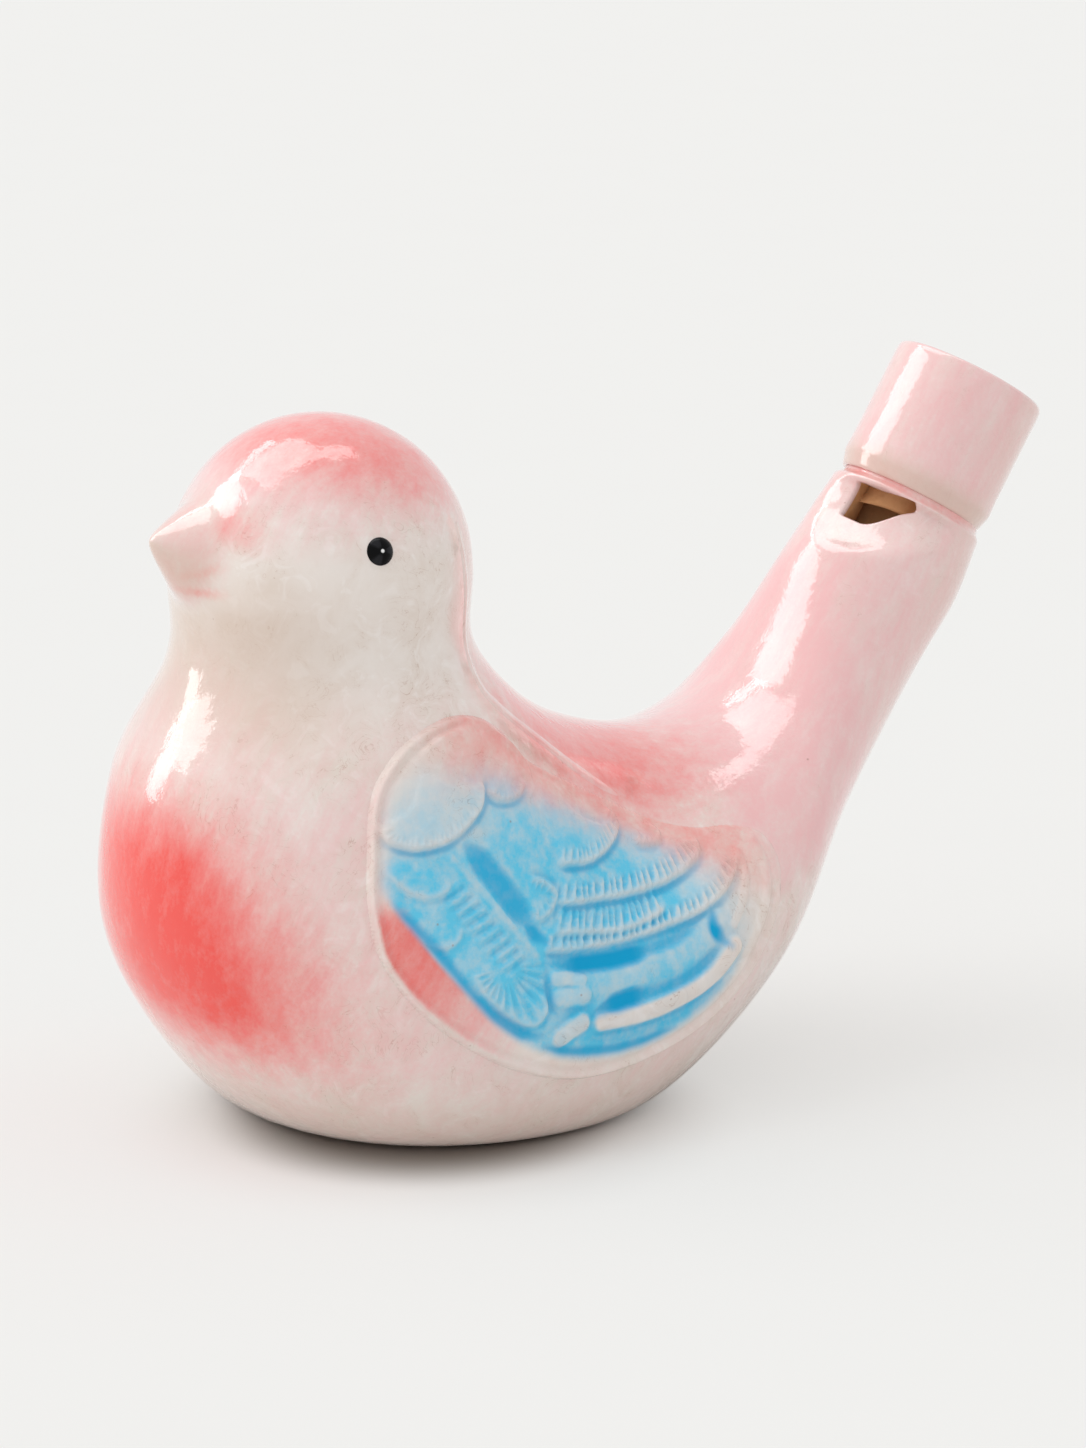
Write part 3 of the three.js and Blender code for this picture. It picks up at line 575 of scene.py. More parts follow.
# wing: a pressed sprig of feathers on the flank; places are mm along the bird and up from the foot
wing = {
    "step": 0.105, "low": (-31.2, 4.4), "high": (9.4, 34.8),
    "outline": [  # clockwise from the front
        (-29.2, 21.5), (-28.8, 25.0), (-28.1, 28.2), (-26.8, 30.3), (-24.3, 32.2), (-20.6, 33.3),
        (-17.4, 32.9), (-15.0, 31.4), (-13.0, 29.0), (-9.6, 27.0), (-5.6, 24.8), (-1.7, 22.8),
        (1.6, 21.8), (5.0, 21.6), (7.2, 20.9), (8.0, 19.2), (7.8, 17.2), (6.5, 14.4), (4.6, 12.0),
        (2.0, 9.8), (-1.8, 7.9), (-5.4, 6.8), (-9.5, 6.1), (-13.5, 6.1), (-17.0, 7.0), (-20.5, 8.6),
        (-24.0, 11.0), (-26.9, 14.0), (-28.8, 17.6)],
    "plateau": 0.3, "overlap": 0.35, "sheet": 0.3,
    # height or depth, how far in from the outline, and half width
    "rim": (0.2, 0.32, 0.25), "rimGroove": (0.18, 0.78, 0.24),
    # on every feather: the bead along its lip, the groove before it, and the strip where the blue broke away
    "bead": (0.09, 0.22, 0.18), "lipGroove": (-0.28, 0.24), "lipBare": (0.2, 0.26),
    # barbs back from the shaft and ribs of the fan: depth, then pitch and slant, or count and root
    "shaftBarbs": (0.11, 0.92, 0.24), "fanRibs": (0.1, 25), "fanRoot": (-19.4, 15.6),
    "softness": 0.1, "barbSoftness": 0.06, "least": 0.08, "leastBlend": 0.12,
    # outside the rim the sheet sinks into the skin
    "sinkSlope": 1.5, "sinkFrom": -0.2, "sinkBelow": 0.05,
    # blue as sprayed, thinner on the shoulder, settled in dips, worn off lips and crests, more so at the back
    "blue": 0.95, "shoulderThin": 0.5, "dipWidth": 0.7, "settled": 0.6, "poolGain": 1.4,
    "lipWorn": 0.4, "lipWornBack": 0.3, "crestWorn": 0.32, "wornLoss": 0.9,
    # rose left at the edge, how much less inside, and the blush along the top
    "rose": 0.6, "roseLoss": 0.45, "blush": 0.36,
    # the blue's upper and lower limits
    "blueTop": [(-30, 29.5), (-24, 31.0), (-18, 30.0), (-13, 27.5), (-8, 25.2), (-2, 22.2), (4, 20.0),
                (10, 18.0)],
    "blueFoot": [(-30, 24.0), (-28, 21.3), (-25.9, 18.4), (-23.5, 15.2), (-20.2, 11.2), (-16.8, 8.9),
                 (-13, 7.7), (-8, 7.4), (-3, 8.6), (1, 10.6), (4, 13.6), (10, 19.0)],
}
# feathers: height of the lip, how far back the feather slopes, the groove in front, then depth, reach and
# pitch of the barbs combed back from the lip; and the lip's line, with the feather on its left
feathers = {
    "shoulder": ((0.3, 3.5, 0.14, 0.05, 1.2, 0.5), [
        (-28.2, 27.2), (-27.9, 26.3), (-27.2, 25.4), (-25.4, 24.8), (-23.0, 25.0), (-21.6, 25.5),
        (-20.4, 26.2), (-19.3, 27.0), (-18.8, 28.0), (-18.7, 29.2)]),
    "shoulderTop": ((0.24, 2.4, 0.1, 0.0, 1.0, 0.5), [
        (-13.6, 27.6), (-13.4, 28.4), (-13.7, 29.3), (-14.8, 30.7), (-16.3, 31.8), (-17.9, 32.5),
        (-20.0, 32.6), (-21.8, 32.3), (-23.9, 31.4)]),
    "scallop": ((0.24, 1.8, 0.12, 0.08, 0.8, 0.48), [
        (-18.7, 28.4), (-18.4, 27.8), (-17.7, 27.2), (-16.3, 27.0), (-15.1, 27.3), (-14.1, 27.9)]),
    "plateUpper": ((0.12, 2.0, 0.05, 0.0, 1.0, 0.6), [
        (-28.2, 23.6), (-26.6, 21.9), (-24.9, 21.2), (-23.4, 21.6), (-22.6, 22.6)]),
    "plateLower": ((0.12, 2.0, 0.05, 0.0, 1.0, 0.6), [
        (-27.0, 19.8), (-25.8, 18.2), (-24.3, 17.4), (-23.0, 17.8), (-22.2, 19.0)]),
    "fan": ((0.22, 2.6, 0.1, 0.0, 1.0, 0.6), [
        (-22.4, 15.6), (-21.9, 14.7), (-21.2, 13.5), (-20.2, 12.3), (-19.0, 11.4), (-17.7, 10.9),
        (-16.7, 11.2), (-16.1, 12.2), (-16.1, 13.6)]),
    "curl": ((0.16, 1.2, 0.1, 0.1, 1.1, 0.62), [
        (-16.6, 18.4), (-15.4, 18.5), (-14.4, 19.1), (-13.8, 20.1), (-14.7, 21.1), (-16.4, 21.8)]),
    "covertOne": ((0.32, 3.2, 0.13, 0.12, 1.5, 0.62), [
        (-13.5, 21.9), (-11.5, 21.5), (-9.8, 21.4), (-8.0, 21.7), (-6.5, 22.3), (-5.6, 23.0),
        (-5.6, 23.9), (-6.4, 24.7)]),
    "covertSmall": ((0.2, 1.2, 0.1, 0.08, 0.8, 0.48), [
        (-5.0, 21.7), (-3.6, 21.3), (-2.2, 21.3), (-1.6, 21.8), (-1.9, 22.4), (-2.9, 22.8)]),
    "covertTwo": ((0.32, 2.4, 0.16, 0.17, 1.8, 0.74), [
        (-14.2, 19.3), (-12.1, 18.9), (-9.8, 18.7), (-7.4, 18.5), (-5.3, 18.5), (-3.2, 18.7),
        (-1.1, 19.2), (0.6, 19.9), (1.4, 20.7), (1.4, 21.6)]),
    "covertThree": ((0.18, 1.6, 0.1, 0.13, 2.2, 0.76), [
        (-15.2, 17.3), (-12.2, 16.8), (-9.8, 16.4), (-7.4, 16.3), (-5.0, 16.7), (-3.4, 17.2)]),
    "covertFour": ((0.3, 1.5, 0.2, 0.17, 1.4, 0.74), [
        (-16.2, 16.2), (-13.4, 15.8), (-10.5, 15.6), (-8.0, 15.6), (-5.3, 15.8), (-2.8, 16.1),
        (-0.2, 16.6), (2.0, 17.5), (3.6, 18.7), (4.4, 19.8)]),
}
# rounded ridges: height, half width, and how far the blue broke away from them
ridges = {
    "shaft": ((0.13, 0.36, 0.0), [
        (-22.6, 24.0), (-21.7, 22.7), (-20.4, 21.1), (-19.2, 19.4), (-17.9, 17.7), (-16.7, 16.1)]),
    "tongueOne": ((0.17, 1.05, 0.1), [
        (-12.8, 13.2), (-10.9, 13.2), (-8.6, 13.3), (-5.8, 13.5), (-3.4, 13.9), (-1.2, 14.6), (0.6, 15.8)]),
    "tongueTwo": ((0.42, 0.8, 1.0), [
        (-11.5, 10.3), (-9.2, 10.3), (-6.9, 10.4), (-4.5, 10.8), (-2.0, 11.4), (0.1, 12.4), (1.9, 13.7)]),
    "knuckleOne": ((0.3, 0.62, 0.45), [(-15.2, 14.1), (-14.2, 14.0), (-13.1, 13.7)]),
    "knuckleLow": ((0.32, 0.75, 0.4), [(-15.1, 12.7), (-14.0, 12.6), (-12.9, 12.5)]),
    "knuckleTwo": ((0.38, 0.8, 0.7), [(-15.3, 9.7), (-14.3, 10.2), (-13.3, 10.6)]),
    "tipInner": ((0.16, 0.45, 0.6), [(4.4, 19.9), (4.3, 18.2), (3.4, 16.6), (2.2, 15.3)]),
    "tipOuter": ((0.16, 0.45, 0.6), [
        (6.2, 20.6), (6.6, 18.8), (6.0, 16.6), (4.8, 14.8), (3.0, 12.8)]),
}
# hollows: depth, half width, and how much blue ran down into them
hollows = {
    "bar": ((0.5, 0.92, 0.7), [
        (-21.2, 24.6), (-20.0, 23.1), (-19.0, 21.7), (-18.0, 20.2), (-17.2, 19.0), (-16.6, 18.1)]),
    "barEnd": ((0.3, 0.75, 1.0), [(-17.1, 18.5), (-16.4, 17.5), (-15.7, 16.9)]),
    "poolOne": ((0.26, 0.68, 1.0), [
        (-14.6, 15.0), (-11.5, 14.7), (-9.5, 14.6), (-7.6, 14.65), (-6.0, 14.75)]),
    "poolOneTail": ((0.14, 0.42, 0.55), [
        (-16.0, 15.3), (-12.0, 14.8), (-7.6, 14.7), (-4.0, 15.0), (-1.4, 15.7)]),
    "poolTwo": ((0.24, 0.66, 1.0), [(-11.6, 11.2), (-9.8, 11.5), (-8.2, 11.65), (-6.6, 11.7)]),
    "poolTwoTail": ((0.14, 0.4, 0.55), [
        (-12.6, 10.9), (-8.8, 11.6), (-5.2, 11.85), (-3.2, 12.2), (-1.1, 13.0), (0.4, 14.0)]),
    "under": ((0.1, 0.6, 0.25), [
        (-13.0, 9.3), (-9.2, 9.0), (-5.3, 9.3), (-2.1, 10.1), (1.2, 11.3)]),
    "streak": ((0.1, 0.4, 0.8), [
        (-16.6, 9.2), (-14.4, 8.5), (-12.2, 8.2), (-10.0, 8.0), (-7.4, 8.1), (-4.4, 8.6)]),
    "drop": ((0.1, 0.6, 1.3), [(0.4, 16.5), (0.2, 15.3), (0.8, 14.4), (1.4, 13.8)]),
    "bandFront": ((0.16, 0.5, 0.75), [
        (-27.6, 21.0), (-25.9, 18.8), (-24.5, 17.1), (-23.4, 15.4), (-21.9, 13.4), (-20.2, 11.8),
        (-18.4, 10.5), (-16.8, 10.1)]),
    "knuckleGap": ((0.18, 0.3, 0.7), [(-15.9, 15.0), (-15.95, 12.7), (-15.3, 11.3)]),
}
# the red crescent in front
crescent = {"half": 1.55, "inwards": 0.3, "share": 0.68, "rose": 0.8, "line": [
    (-28.7, 21.8), (-27.9, 19.1), (-26.8, 16.7), (-25.1, 14.4), (-23.1, 12.4), (-21.3, 10.9), (-19.6, 9.7),
    (-17.6, 8.8)]}


def lineField(line, x, z, samples=150, margin=5.0):
    # signed distance to a smooth line, above zero on its left, how far along it that is, and its length
    line = np.asarray(line, float)
    spots = smoothRows(line, np.linspace(0, len(line) - 1, samples))
    steps = np.gradient(spots, axis=0)
    length = np.concatenate([[0], np.cumsum(np.hypot(*np.diff(spots, axis=0).T))])
    distance, along = np.full(x.shape, -99.0), np.zeros(x.shape)
    low, high = spots.min(0) - margin, spots.max(0) + margin
    near = np.flatnonzero((x > low[0]) & (x < high[0]) & (z > low[1]) & (z < high[1]))
    for part in np.array_split(near, len(near) // 20000 + 1):
        dx, dz = x[part, None] - spots[:, 0], z[part, None] - spots[:, 1]
        nearest = np.argmin(dx * dx + dz * dz, axis=1)
        pick = np.arange(len(nearest)), nearest
        left = steps[nearest, 0] * dz[pick] - steps[nearest, 1] * dx[pick]
        distance[part] = np.hypot(dx[pick], dz[pick]) * np.sign(left)
        along[part] = length[nearest]
    return distance, along, length[-1]


def blurred(field, width):
    # soft copy of a height field, over a width in mm
    width = width / wing["step"]
    reach = int(2.5 * width) + 1
    weights = np.exp(-0.5 * (np.arange(-reach, reach + 1) / width) ** 2)
    weights /= weights.sum()
    for axis in (0, 1):
        edge = [(reach, reach) if axis == k else (0, 0) for k in (0, 1)]
        padded = np.pad(field, edge, mode="edge")
        size = field.shape[axis]
        field = sum(w * np.take(padded, np.arange(i, i + size), axis=axis) for i, w in enumerate(weights))
    return field


wingColumns = round((wing["high"][0] - wing["low"][0]) / wing["step"])
wingRows = round((wing["high"][1] - wing["low"][1]) / wing["step"])
wingX, wingZ = np.meshgrid(np.linspace(wing["low"][0], wing["high"][0], wingColumns + 1),
                           np.linspace(wing["low"][1], wing["high"][1], wingRows + 1))


def wingRelief():
    x, z = wingX.ravel(), wingZ.ravel()
    outline = wing["outline"]
    edge = -lineField([outline[-1]] + outline + outline[:2], x, z, samples=400, margin=40)[0]
    # the rim stands up round the front and below, and melts into the back above
    melted = ease(-17, -12, x) * ease(-3.0, 0.0, z - np.interp(x, *zip(*wing["blueTop"])))
    height = wing["plateau"] * ease(-0.2, 0.3, edge) * (1 - 0.7 * melted * ease(4, 0, edge))
    for name, way in (("rim", 1), ("rimGroove", -1)):
        tall, inwards, half = wing[name]
        height += way * tall * (1 - melted) * bell(edge, inwards, half)
    bare, pool, barbs = np.zeros(len(x)), np.zeros(len(x)), np.zeros(len(x))
    beadHeight, beadAt, beadHalf = wing["bead"]
    lipWorn = wing["lipWorn"] + wing["lipWornBack"] * ease(-16, -4, x)
    for (rise, back, groove, barb, reach, pitch), line in feathers.values():
        d, along, length = lineField(line, x, z)
        ends = ease(0, 1.0, along) * ease(length, length - 1.0, along)
        lip = ease(-0.1, 0.12, d) * np.exp(-np.maximum(d, 0) / back) * rise
        bead = beadHeight * bell(d, beadAt, beadHalf)
        height += ends * (lip + bead - groove * bell(d, *wing["lipGroove"]))
        comb = ease(0.05, 0.3, d) * ease(reach, 0.5 * reach, d)
        uneven = along - 0.3 * d + 0.14 * np.sin(2.1 * along)
        barbs += ends * comb * barb * np.cos(2 * np.pi * uneven / pitch)
        bare = np.maximum(bare, lipWorn * ends * bell(d, *wing["lipBare"]))
    # barbs run back from the shaft, and ribs spread from the root of the fan
    depth, pitch, slant = wing["shaftBarbs"]
    shaftLine, fanEdge = ridges["shaft"][1], feathers["fan"][1]
    d, along, length = lineField(shaftLine, x, z)
    web = ease(-0.55, -0.85, d) * ease(-3.3, -2.2, d)
    web *= ease(0.8, 2.0, along) * ease(length + 0.1, length - 0.6, along)
    barbs += depth * web * np.cos(2 * np.pi * (along - slant * d) / pitch)
    depth, count = wing["fanRibs"]
    d = lineField(fanEdge, x, z)[0]
    fromX, fromZ = x - wing["fanRoot"][0], z - wing["fanRoot"][1]
    out, turn = np.hypot(fromX, fromZ), np.arctan2(fromZ, fromX)
    ribs = ease(0.1, 0.5, d) * ease(0.9, 1.8, out) * ease(5.2, 4.6, out) * ease(0.15, -0.2, turn)
    barbs += depth * ribs * np.cos(count * turn)
    for (tall, half, worn), line in ridges.values():
        d = np.abs(lineField(line, x, z)[0])
        height += tall * np.sqrt(np.clip(1 - (d / half) ** 2, 0, 1))
        bare = np.maximum(bare, worn * ease(half, 0.6 * half, d))
    for (depth, half, filled), line in hollows.values():
        d, along, length = lineField(line, x, z)
        d, taper = np.abs(d), ease(-0.6, 1.8, along) * ease(length + 0.6, length - 1.8, along)
        half = half * (0.25 + 0.75 * taper)
        height -= depth * taper * ease(half + 0.15, half - 0.2, d)
        pool = np.maximum(pool, filled * (0.5 + 0.5 * taper) * ease(half + 0.35, half - 0.35, d))
    height, barbs, edge, bare, pool = (f.reshape(wingX.shape) for f in (height, barbs, edge, bare, pool))
    height = blendMax(height, wing["least"] * ease(0, 0.6, edge), wing["leastBlend"])
    height = blurred(height, wing["softness"]) + blurred(barbs, wing["barbSoftness"])
    sunk = wing["sinkSlope"] * (edge - wing["sinkFrom"]) - wing["sinkBelow"]
    return edge, np.minimum(height, sunk), bare, pool


wingEdge, wingHeight, wingBare, wingPool = wingRelief()


def wingSpray(points):
    # blue sprayed over the middle of the wing: it settles in hollows and breaks to cream on crests
    x, z = wingX, wingZ
    colours = spray(points.reshape(-1, 3)).reshape(points.shape[:2] + (4,))
    footLine = smoothRows(wing["blueFoot"], np.linspace(0, len(wing["blueFoot"]) - 1, 200))
    top, foot = np.interp(x, *zip(*wing["blueTop"])), np.interp(x, *footLine.T)
    colours[..., 1] *= wing["rose"] - wing["roseLoss"] * ease(0.3, 2.0, wingEdge)
    blue = wing["blue"] * ease(-1.2, 4.5, top - z) * ease(-0.6, 0.9, z - foot)
    blue *= ease(6, -4, x) * ease(0.2, 2.2, wingEdge)
    blue *= 1 - wing["shoulderThin"] * ease(23.5, 25.5, z) * ease(-16, -22, x)
    relief = wingHeight - blurred(wingHeight, wing["dipWidth"])
    crests = wing["crestWorn"] * (1 + ease(-14, -2, x)) * ease(0.02, 0.15, relief)
    bare = np.clip(np.maximum(wingBare, crests), 0, 1)
    settled = np.maximum(wingPool, wing["settled"] * ease(0.03, 0.2, -relief))
    d, along, length = lineField(crescent["line"], x.ravel(), z.ravel())
    d, along = np.abs(d.reshape(x.shape) - crescent["inwards"]), along.reshape(x.shape)
    half = crescent["half"]
    red = crescent["share"] * ease(half + 0.25, half - 0.35, d) * ease(0.15, 0.6, wingEdge)
    red *= ease(0, 2.5, along)
    rose = crescent["rose"] * red * ease(length, 0.75 * length, along)
    colours[..., 1] = np.maximum(colours[..., 1], rose)
    red *= ease(0.95 * length, 0.25 * length, along)
    blush = wing["blush"] * ease(3.8, 0.2, top - z) * ease(-25, -18, x) * ease(9, 3, x)
    colours[..., 0] = np.maximum.reduce([colours[..., 0], red, blush])
    colours[..., 2] = blue * (1 - wing["wornLoss"] * bare)
    colours[..., 3] = settled * np.clip(wing["poolGain"] * blue, 0, 1)
    return colours


flank = flankDepth(wingX.ravel(), wingZ.ravel()).reshape(wingX.shape)
leanZ, leanX = np.gradient(flank, wing["step"])
outwards = np.stack([-leanX, np.ones(flank.shape), -leanZ], -1)
outwards /= np.linalg.norm(outwards, axis=-1, keepdims=True)
wingForm = np.stack([wingX, flank, wingZ], -1) + outwards * wingHeight[..., None]
wingColours = wingSpray(wingForm)


def makeWing(name, side, node):
    form = wingForm * np.array([1, side, 1])
    bm, column, row = gridMesh(wingColumns, wingRows, lambda c, r: (form[r, c], wingColours[r, c]))
    bm.verts.index_update()
    outside = wingEdge[row, column] < -wing["overlap"]
    spare = [v for v in bm.verts if outside[v.index]]
    bmesh.ops.delete(bm, geom=spare, context="VERTS")
    piece = makePiece(name, bm, [wingGlaze], [node], outwards=(0, side, 0))
    addModifier(piece, "SOLIDIFY", thickness=wing["sheet"] * mm, offset=-1.0, use_rim_only=True)
    print(name, len(piece.data.polygons), "faces")


makeWing("wingLeft", -1, "wing_left")
makeWing("wingRight", 1, "wing_right")

# eyes: black beads, domed, with a painted white highlight in the middle and three faint painted reflections,
# wedge-shaped, round it
eye = {
    "radius": 1.14, "dome": 0.8, "seat": -0.35, "root": 0.5, "bearing": 86.0, "rise": 15.6, "steps": 40,
    "rings": 12, "paintedReflectionWedges": 3, "paintedReflectionWedgeEdge": (0.1, 0.6), "paintedReflectionWedgeStart": (0.2, 0.5), "paintedGlint": (0.10, 0.17),
    "black": "#030304", "paintedReflectionWedge": "#232326", "paintedGlintWhite": "#f4f4f4",
}


def beadMaterial(place):
    # black glaze on a bead: almost a mirror, with a pin of white painted at its crown as a highlight and
    # three lighter wedges painted as reflections
    material, tree, where = newMaterial("blackBeadGlazePaintedGlint")
    mirrored = addNode(tree, "VectorMath", {0: where}, operation="ABSOLUTE")
    away = addNode(tree, "VectorMath", {0: mirrored.outputs[0], 1: place}, operation="DISTANCE")
    paintedGlint = remap(tree, away.outputs["Value"], [mm * reach for reach in eye["paintedGlint"]], (1.0, 0.0))
    paintedReflectionWedges = addNode(tree, "Attribute", {}, attribute_name="paintedReflectionWedge").outputs["Fac"]
    tone = mixTone(tree, paintedGlint, mixTone(tree, paintedReflectionWedges, eye["black"], eye["paintedReflectionWedge"]), eye["paintedGlintWhite"])
    return surfaced(material, tree, "BsdfPrincipled", {
        "Base Color": tone, "Roughness": 0.05, "IOR": 1.52, "Specular IOR Level": 0.1})


def eyeFrame(side):
    bearing, rise = math.radians(eye["bearing"]), math.radians(eye["rise"])
    level = math.cos(rise)
    out = Vector((-math.cos(bearing) * level, side * math.sin(bearing) * level, math.sin(rise)))
    middle = Vector((bird["headX"], 0, bird["headZ"])) + out * bird["headRadius"]
    return Matrix.Translation(middle * mm) @ out.to_track_quat("Z", "Y").to_matrix().to_4x4()


eyeTop = eyeFrame(1) @ Vector((0, 0, (eye["seat"] + eye["dome"]) * mm))
beadGlaze = beadMaterial([abs(c) for c in eyeTop])


def makeEye(name, side, node):
    radius, seat = eye["radius"], eye["seat"]
    profile = [(radius * 0.9, seat - eye["root"]), (radius, seat)]
    profile += [(radius * math.cos(a), seat + eye["dome"] * math.sin(a))
                for a in np.linspace(0.12, math.pi / 2, eye["rings"])]
    bm = spunMesh(profile, eye["steps"])
    layer = bm.verts.layers.float.new("paintedReflectionWedge")
    # painted reflections: three lighter wedges round the middle of the bead
    for vert in bm.verts:
        wave = math.cos(eye["paintedReflectionWedges"] * math.atan2(vert.co.y, vert.co.x))
        vert[layer] = ease(*eye["paintedReflectionWedgeEdge"], wave) * ease(*eye["paintedReflectionWedgeStart"], vert.co.xy.length / mm)
    bmesh.ops.transform(bm, matrix=eyeFrame(side), verts=bm.verts)
    makePiece(name, bm, [beadGlaze], [node], outwards=(0, side, 0))


makeEye("eyeLeft", -1, "eye_left")
makeEye("eyeRight", 1, "eye_right")
print("eyes made")

# mouthpiece: a sleeve with rounded lips and a swollen lower edge
mouthpiece = {
    "steps": 80,
    # radius and height along the tail, from the groove up the outside, over the lips and down the bore
    "profile": [
        (5.6, 0.95), (5.92, 0.75), (6.08, 0.77), (6.19, 0.97), (6.29, 1.35), (6.42, 1.75), (6.52, 2.05),
        (6.52, 2.45), (6.46, 3.2), (6.46, 6.0), (6.46, 11.0), (6.45, 11.5), (6.36, 11.86), (6.12, 12.05),
        (5.8, 12.08), (4.3, 12.08), (3.95, 11.95), (3.76, 11.5), (3.7, 10.5), (3.7, 6.0), (3.7, 3.4)],
    "worn": 0.65, "wornHeights": (3.2, 1.6),  # the slip wore thin on the lower lip
    # the plug that leaves the windway: radius, foot and top along the tail, and how far out its flat side is
    "plug": (3.5, -6.0, 11.6, 1.2), "plugSides": 48,
}
tailFrame = Matrix.Translation(Vector(tailEnd) * mm) @ Matrix.Rotation(tilt, 4, "Y")
bm = spunMesh(mouthpiece["profile"], mouthpiece["steps"])
bmesh.ops.transform(bm, matrix=tailFrame, verts=bm.verts)
layer = bm.verts.layers.float_color.new("spray")
points = np.array([v.co for v in bm.verts]) / mm
colours = spray(points)
worn = mouthpiece["worn"] * ease(*mouthpiece["wornHeights"], (points - tailEnd) @ tailAlong)
colours[:, 3] = np.maximum(colours[:, 3], worn)
for vert, colour in zip(bm.verts, colours):
    vert[layer] = colour
mouthSleeve = makePiece("mouthSleeve", bm, [slipGlaze], ["mouthpiece"])
addModifier(mouthSleeve, "SUBSURF", levels=1, render_levels=1)

plugRadius, plugFoot, plugTop, plugFlat = mouthpiece["plug"]
plugFrame = tailFrame @ Matrix.Translation((0, 0, (plugFoot + plugTop) / 2 * mm))
bm = bmesh.new()
bmesh.ops.create_cone(bm, cap_ends=True, segments=mouthpiece["plugSides"], radius1=plugRadius * mm,
                      radius2=plugRadius * mm, depth=(plugTop - plugFoot) * mm)
bmesh.ops.transform(bm, matrix=plugFrame, verts=bm.verts)
cut = bmesh.ops.bisect_plane(bm, geom=bm.verts[:] + bm.edges[:] + bm.faces[:], plane_no=Vector(windowOut),
                             plane_co=Vector(tailEnd + windowOut * plugFlat) * mm, clear_outer=True)
bmesh.ops.edgenet_fill(bm, edges=[e for e in cut["geom_cut"] if isinstance(e, bmesh.types.BMEdge)])
plug = makePiece("windwayPlug", bm, [bareClay], ["windway_block"])
plug.data.shade_flat()
print("mouthpiece", len(mouthSleeve.data.polygons), "faces")

# studio: a pale floor under an uneven sky, two softboxes behind the left and three panels overhead
studio = {
    # the paper's tones, and the darker tone of the shadow painted on it under the belly
    "paper": ("#e7e6e4", "#e9e8e6"), "paperLit": "#f0f0ee", "paperPaintedShadow": "#8a847e", "fibresPerMetre": 60.0,
    "floorHalf": 4.0,
    # from a spot under the belly: how far the shadow painted on the paper reaches, and from where the even
    # light takes over
    "paintedShadowFrom": (-20.0, -8.0, 0.0), "paintedShadowReach": (8.0, 17.0), "litReach": (12.0, 26.0), "litShare": 0.6,
    # the sky brightens behind the left shoulder: direction, level against and along it, and in reflections
    "skyAxis": (-0.35, 0.3, 0.89), "skySpan": (-0.5, 1.0), "sky": (0.22, 1.18), "skyShine": 0.87,
    # bearing and height from the bird in degrees, then width, height and brightness
    "stripSoftbox": (-132.0, 13.0, 12.0, 20.0, 3.2),
    "backSoftbox": (-131.0, 33.0, 32.0, 22.0, 2.9),
    # panels hung flat overhead: middle, width and depth against a height of one, then brightness
    "backPanel": (-0.245, 0.45, 0.73, 0.7, 2.2),
    "sidePanel": (0.28, 0.175, 0.32, 0.19, 2.2),
    "edgePanel": (-0.34, 0.96, 0.7, 0.18, 3.4),
    "lampDistance": 2.0,
    # bearing, height and spread in degrees, then strength
    "keyLight": (-122.0, 42.0, 60.0, 0.75),
    "sideFill": (55.0, 28.0, 60.0, 0.18),
}
subject = Vector((-4.35, 0, 28.2)) * mm  # what the camera and the lamps point at


def direction(bearing, rise):
    bearing, rise = math.radians(bearing), math.radians(rise)
    return Vector((math.sin(bearing) * math.cos(rise), -math.cos(bearing) * math.cos(rise), math.sin(rise)))


def aimFrom(holder, towards, distance):
    holder.location = subject + towards * distance
    holder.rotation_euler = towards.to_track_quat("Z", "Y").to_euler()
    scene.collection.objects.link(holder)


def paperMaterial():
    # matt seamless paper: no shine, hardly any grain at this distance
    material, tree, where = newMaterial("mattSeamlessPaperPaintedShadow")
    fibre = addNode(tree, "TexNoise", {
        "Vector": where, "Scale": studio["fibresPerMetre"], "Detail": 3.0}).outputs[0]
    # a dark shadow is painted on the paper under the belly, seen only by the camera, so the paper still
    # throws light up at it; further off little shadow shows
    spot = Vector(studio["paintedShadowFrom"]) * mm
    away = addNode(tree, "VectorMath", {0: where, 1: spot}, operation="DISTANCE").outputs["Value"]
    clear, lit = (remap(tree, away, [mm * reach for reach in studio[name]], (0.0, most), smooth=True)
                  for name, most in (("paintedShadowReach", 1.0), ("litReach", studio["litShare"])))
    seen = addNode(tree, "LightPath", {}).outputs["Is Camera Ray"]
    plain = sums(tree, "MAXIMUM", clear, sums(tree, "SUBTRACT", 1.0, seen))
    # painted shadow: the camera sees the paper's tone darken towards the spot under the belly
    tone = mixTone(tree, plain, studio["paperPaintedShadow"], mixTone(tree, fibre, *studio["paper"]))
    shade = addNode(tree, "BsdfDiffuse", {"Color": tone})
    glow = addNode(tree, "Emission", {"Color": linearColour(studio["paperLit"])})
    return surfaced(material, tree, "MixShader", {
        0: sums(tree, "MULTIPLY", lit, seen), 1: shade.outputs[0], 2: glow.outputs[0]})


def softLamp(name, wide, deep, brightness):
    lamp = bpy.data.lights.new(name, "AREA")
    lamp.shape = "RECTANGLE"
    lamp.size, lamp.size_y = wide, deep
    lamp.energy = brightness * math.pi * wide * deep
    holder = bpy.data.objects.new(name, lamp)
    holder.visible_diffuse = False  # seen only as a shine on the glaze
    return holder


def addSoftbox(name):
    bearing, rise, wide, tall, brightness = studio[name]
    reach = studio["lampDistance"]
    spans = [2 * reach * math.tan(math.radians(span / 2)) for span in (wide, tall)]
    aimFrom(softLamp(name, *spans, brightness), direction(bearing, rise), reach)


def addPanel(name):
    along, across, wide, deep, brightness = studio[name]
    reach = studio["lampDistance"]
    holder = softLamp(name, wide * reach, deep * reach, brightness)
    holder.location = Vector((along, across, 1)) * reach
    scene.collection.objects.link(holder)


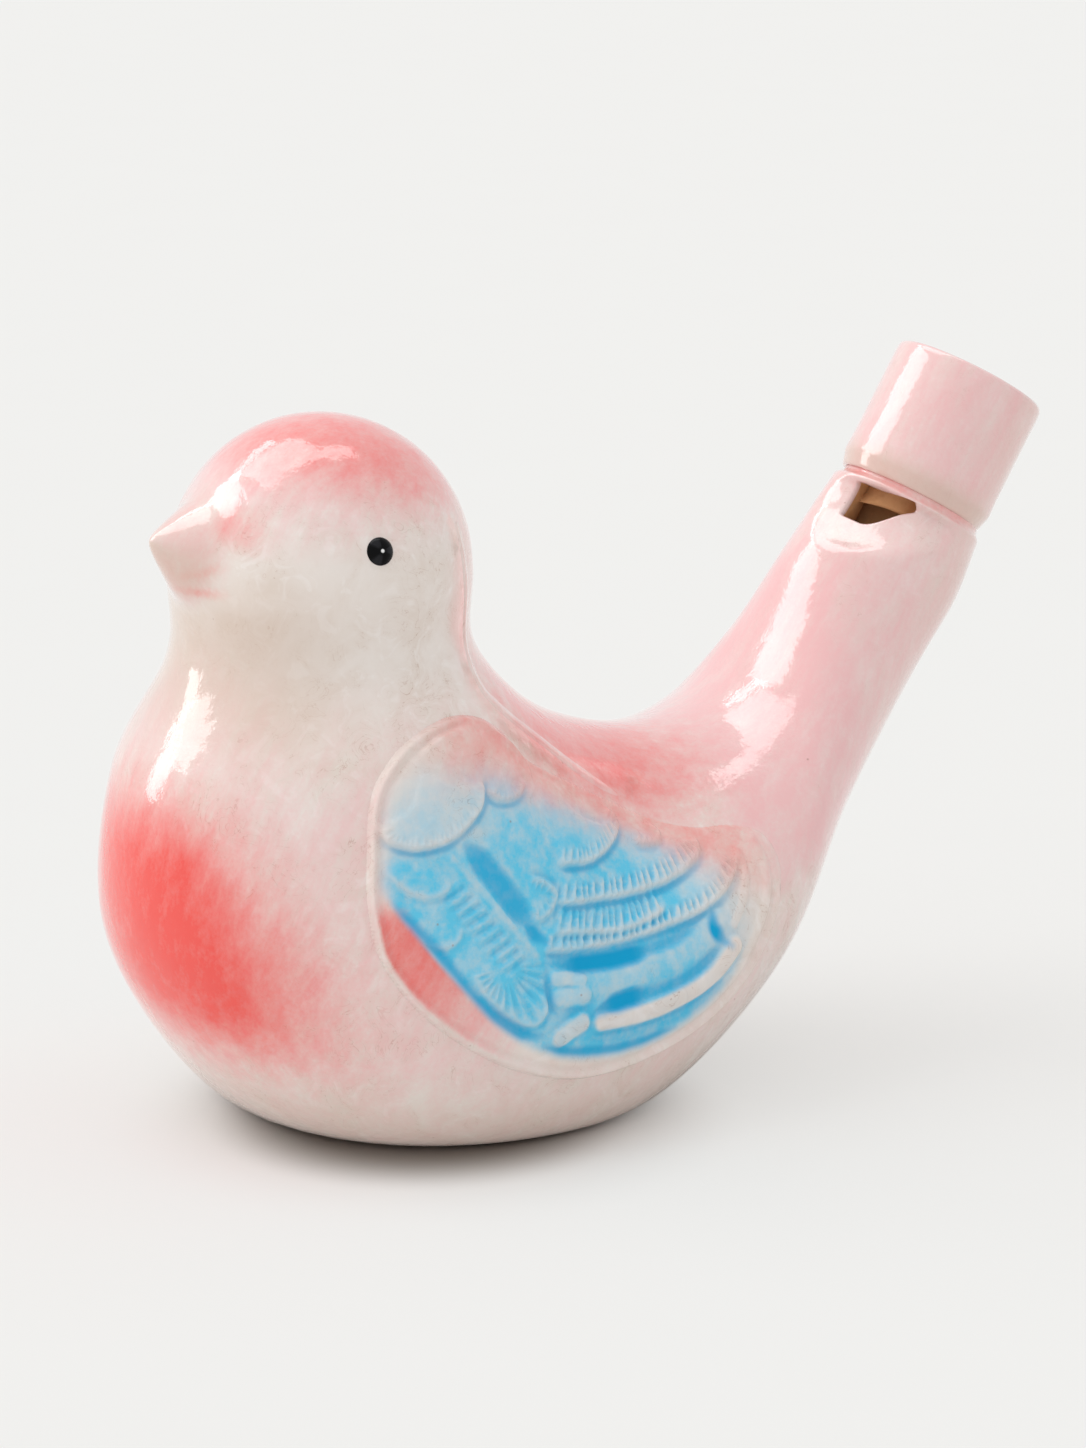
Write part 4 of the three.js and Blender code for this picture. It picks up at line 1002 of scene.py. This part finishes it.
def addSun(name):
    bearing, rise, spread, strength = studio[name]
    lamp = bpy.data.lights.new(name, "SUN")
    lamp.energy = strength
    lamp.angle = math.radians(spread)
    holder = bpy.data.objects.new(name, lamp)
    holder.visible_glossy = False  # lights the colours without a shine of its own
    aimFrom(holder, direction(bearing, rise), studio["lampDistance"])


bm = bmesh.new()
bmesh.ops.create_grid(bm, x_segments=1, y_segments=1, size=studio["floorHalf"])
floorMesh = bpy.data.meshes.new("floor")
bm.to_mesh(floorMesh)
bm.free()
floorMesh.materials.append(paperMaterial())
floor = bpy.data.objects.new("floor", floorMesh)
scene.collection.objects.link(floor)

world = bpy.data.worlds.new("paleSky")
world.use_nodes = True
tree = world.node_tree
tree.nodes.clear()
where = addNode(tree, "TexCoord", {}).outputs["Generated"]
towards = addNode(tree, "VectorMath", {0: where, 1: studio["skyAxis"]}, operation="DOT_PRODUCT")
level = remap(tree, towards.outputs["Value"], studio["skySpan"], studio["sky"])
shiny = addNode(tree, "LightPath", {}).outputs["Is Glossy Ray"]
strength = addNode(tree, "Mix", {0: shiny, 2: level, 3: studio["skyShine"]}, data_type="FLOAT")
sky = addNode(tree, "Background", {"Color": (1, 1, 1, 1), "Strength": strength.outputs[0]})
addNode(tree, "OutputWorld", {"Surface": sky.outputs[0]})
scene.world = world

for name in ("stripSoftbox", "backSoftbox"):
    addSoftbox(name)
for name in ("backPanel", "sidePanel", "edgePanel"):
    addPanel(name)
for name in ("keyLight", "sideFill"):
    addSun(name)
print("studio lit")

# camera: a long lens a little above the bird, round towards its breast
view = {
    "bearing": -30.0, "rise": 14.0, "distance": 0.42, "pixelsPerMm": 12.65, "frameHeight": 1448,
    "sensor": 36.0, "clip": (0.01, 20.0),
}
lens = bpy.data.cameras.new("camera")
lens.sensor_fit = "VERTICAL"
lens.sensor_height = view["sensor"]
lens.lens = view["sensor"] * view["pixelsPerMm"] * view["distance"] / mm / view["frameHeight"]
lens.clip_start, lens.clip_end = view["clip"]
camera = bpy.data.objects.new("camera", lens)
aimFrom(camera, direction(view["bearing"], view["rise"]), view["distance"])
scene.camera = camera
scene.view_settings.view_transform = "Standard"
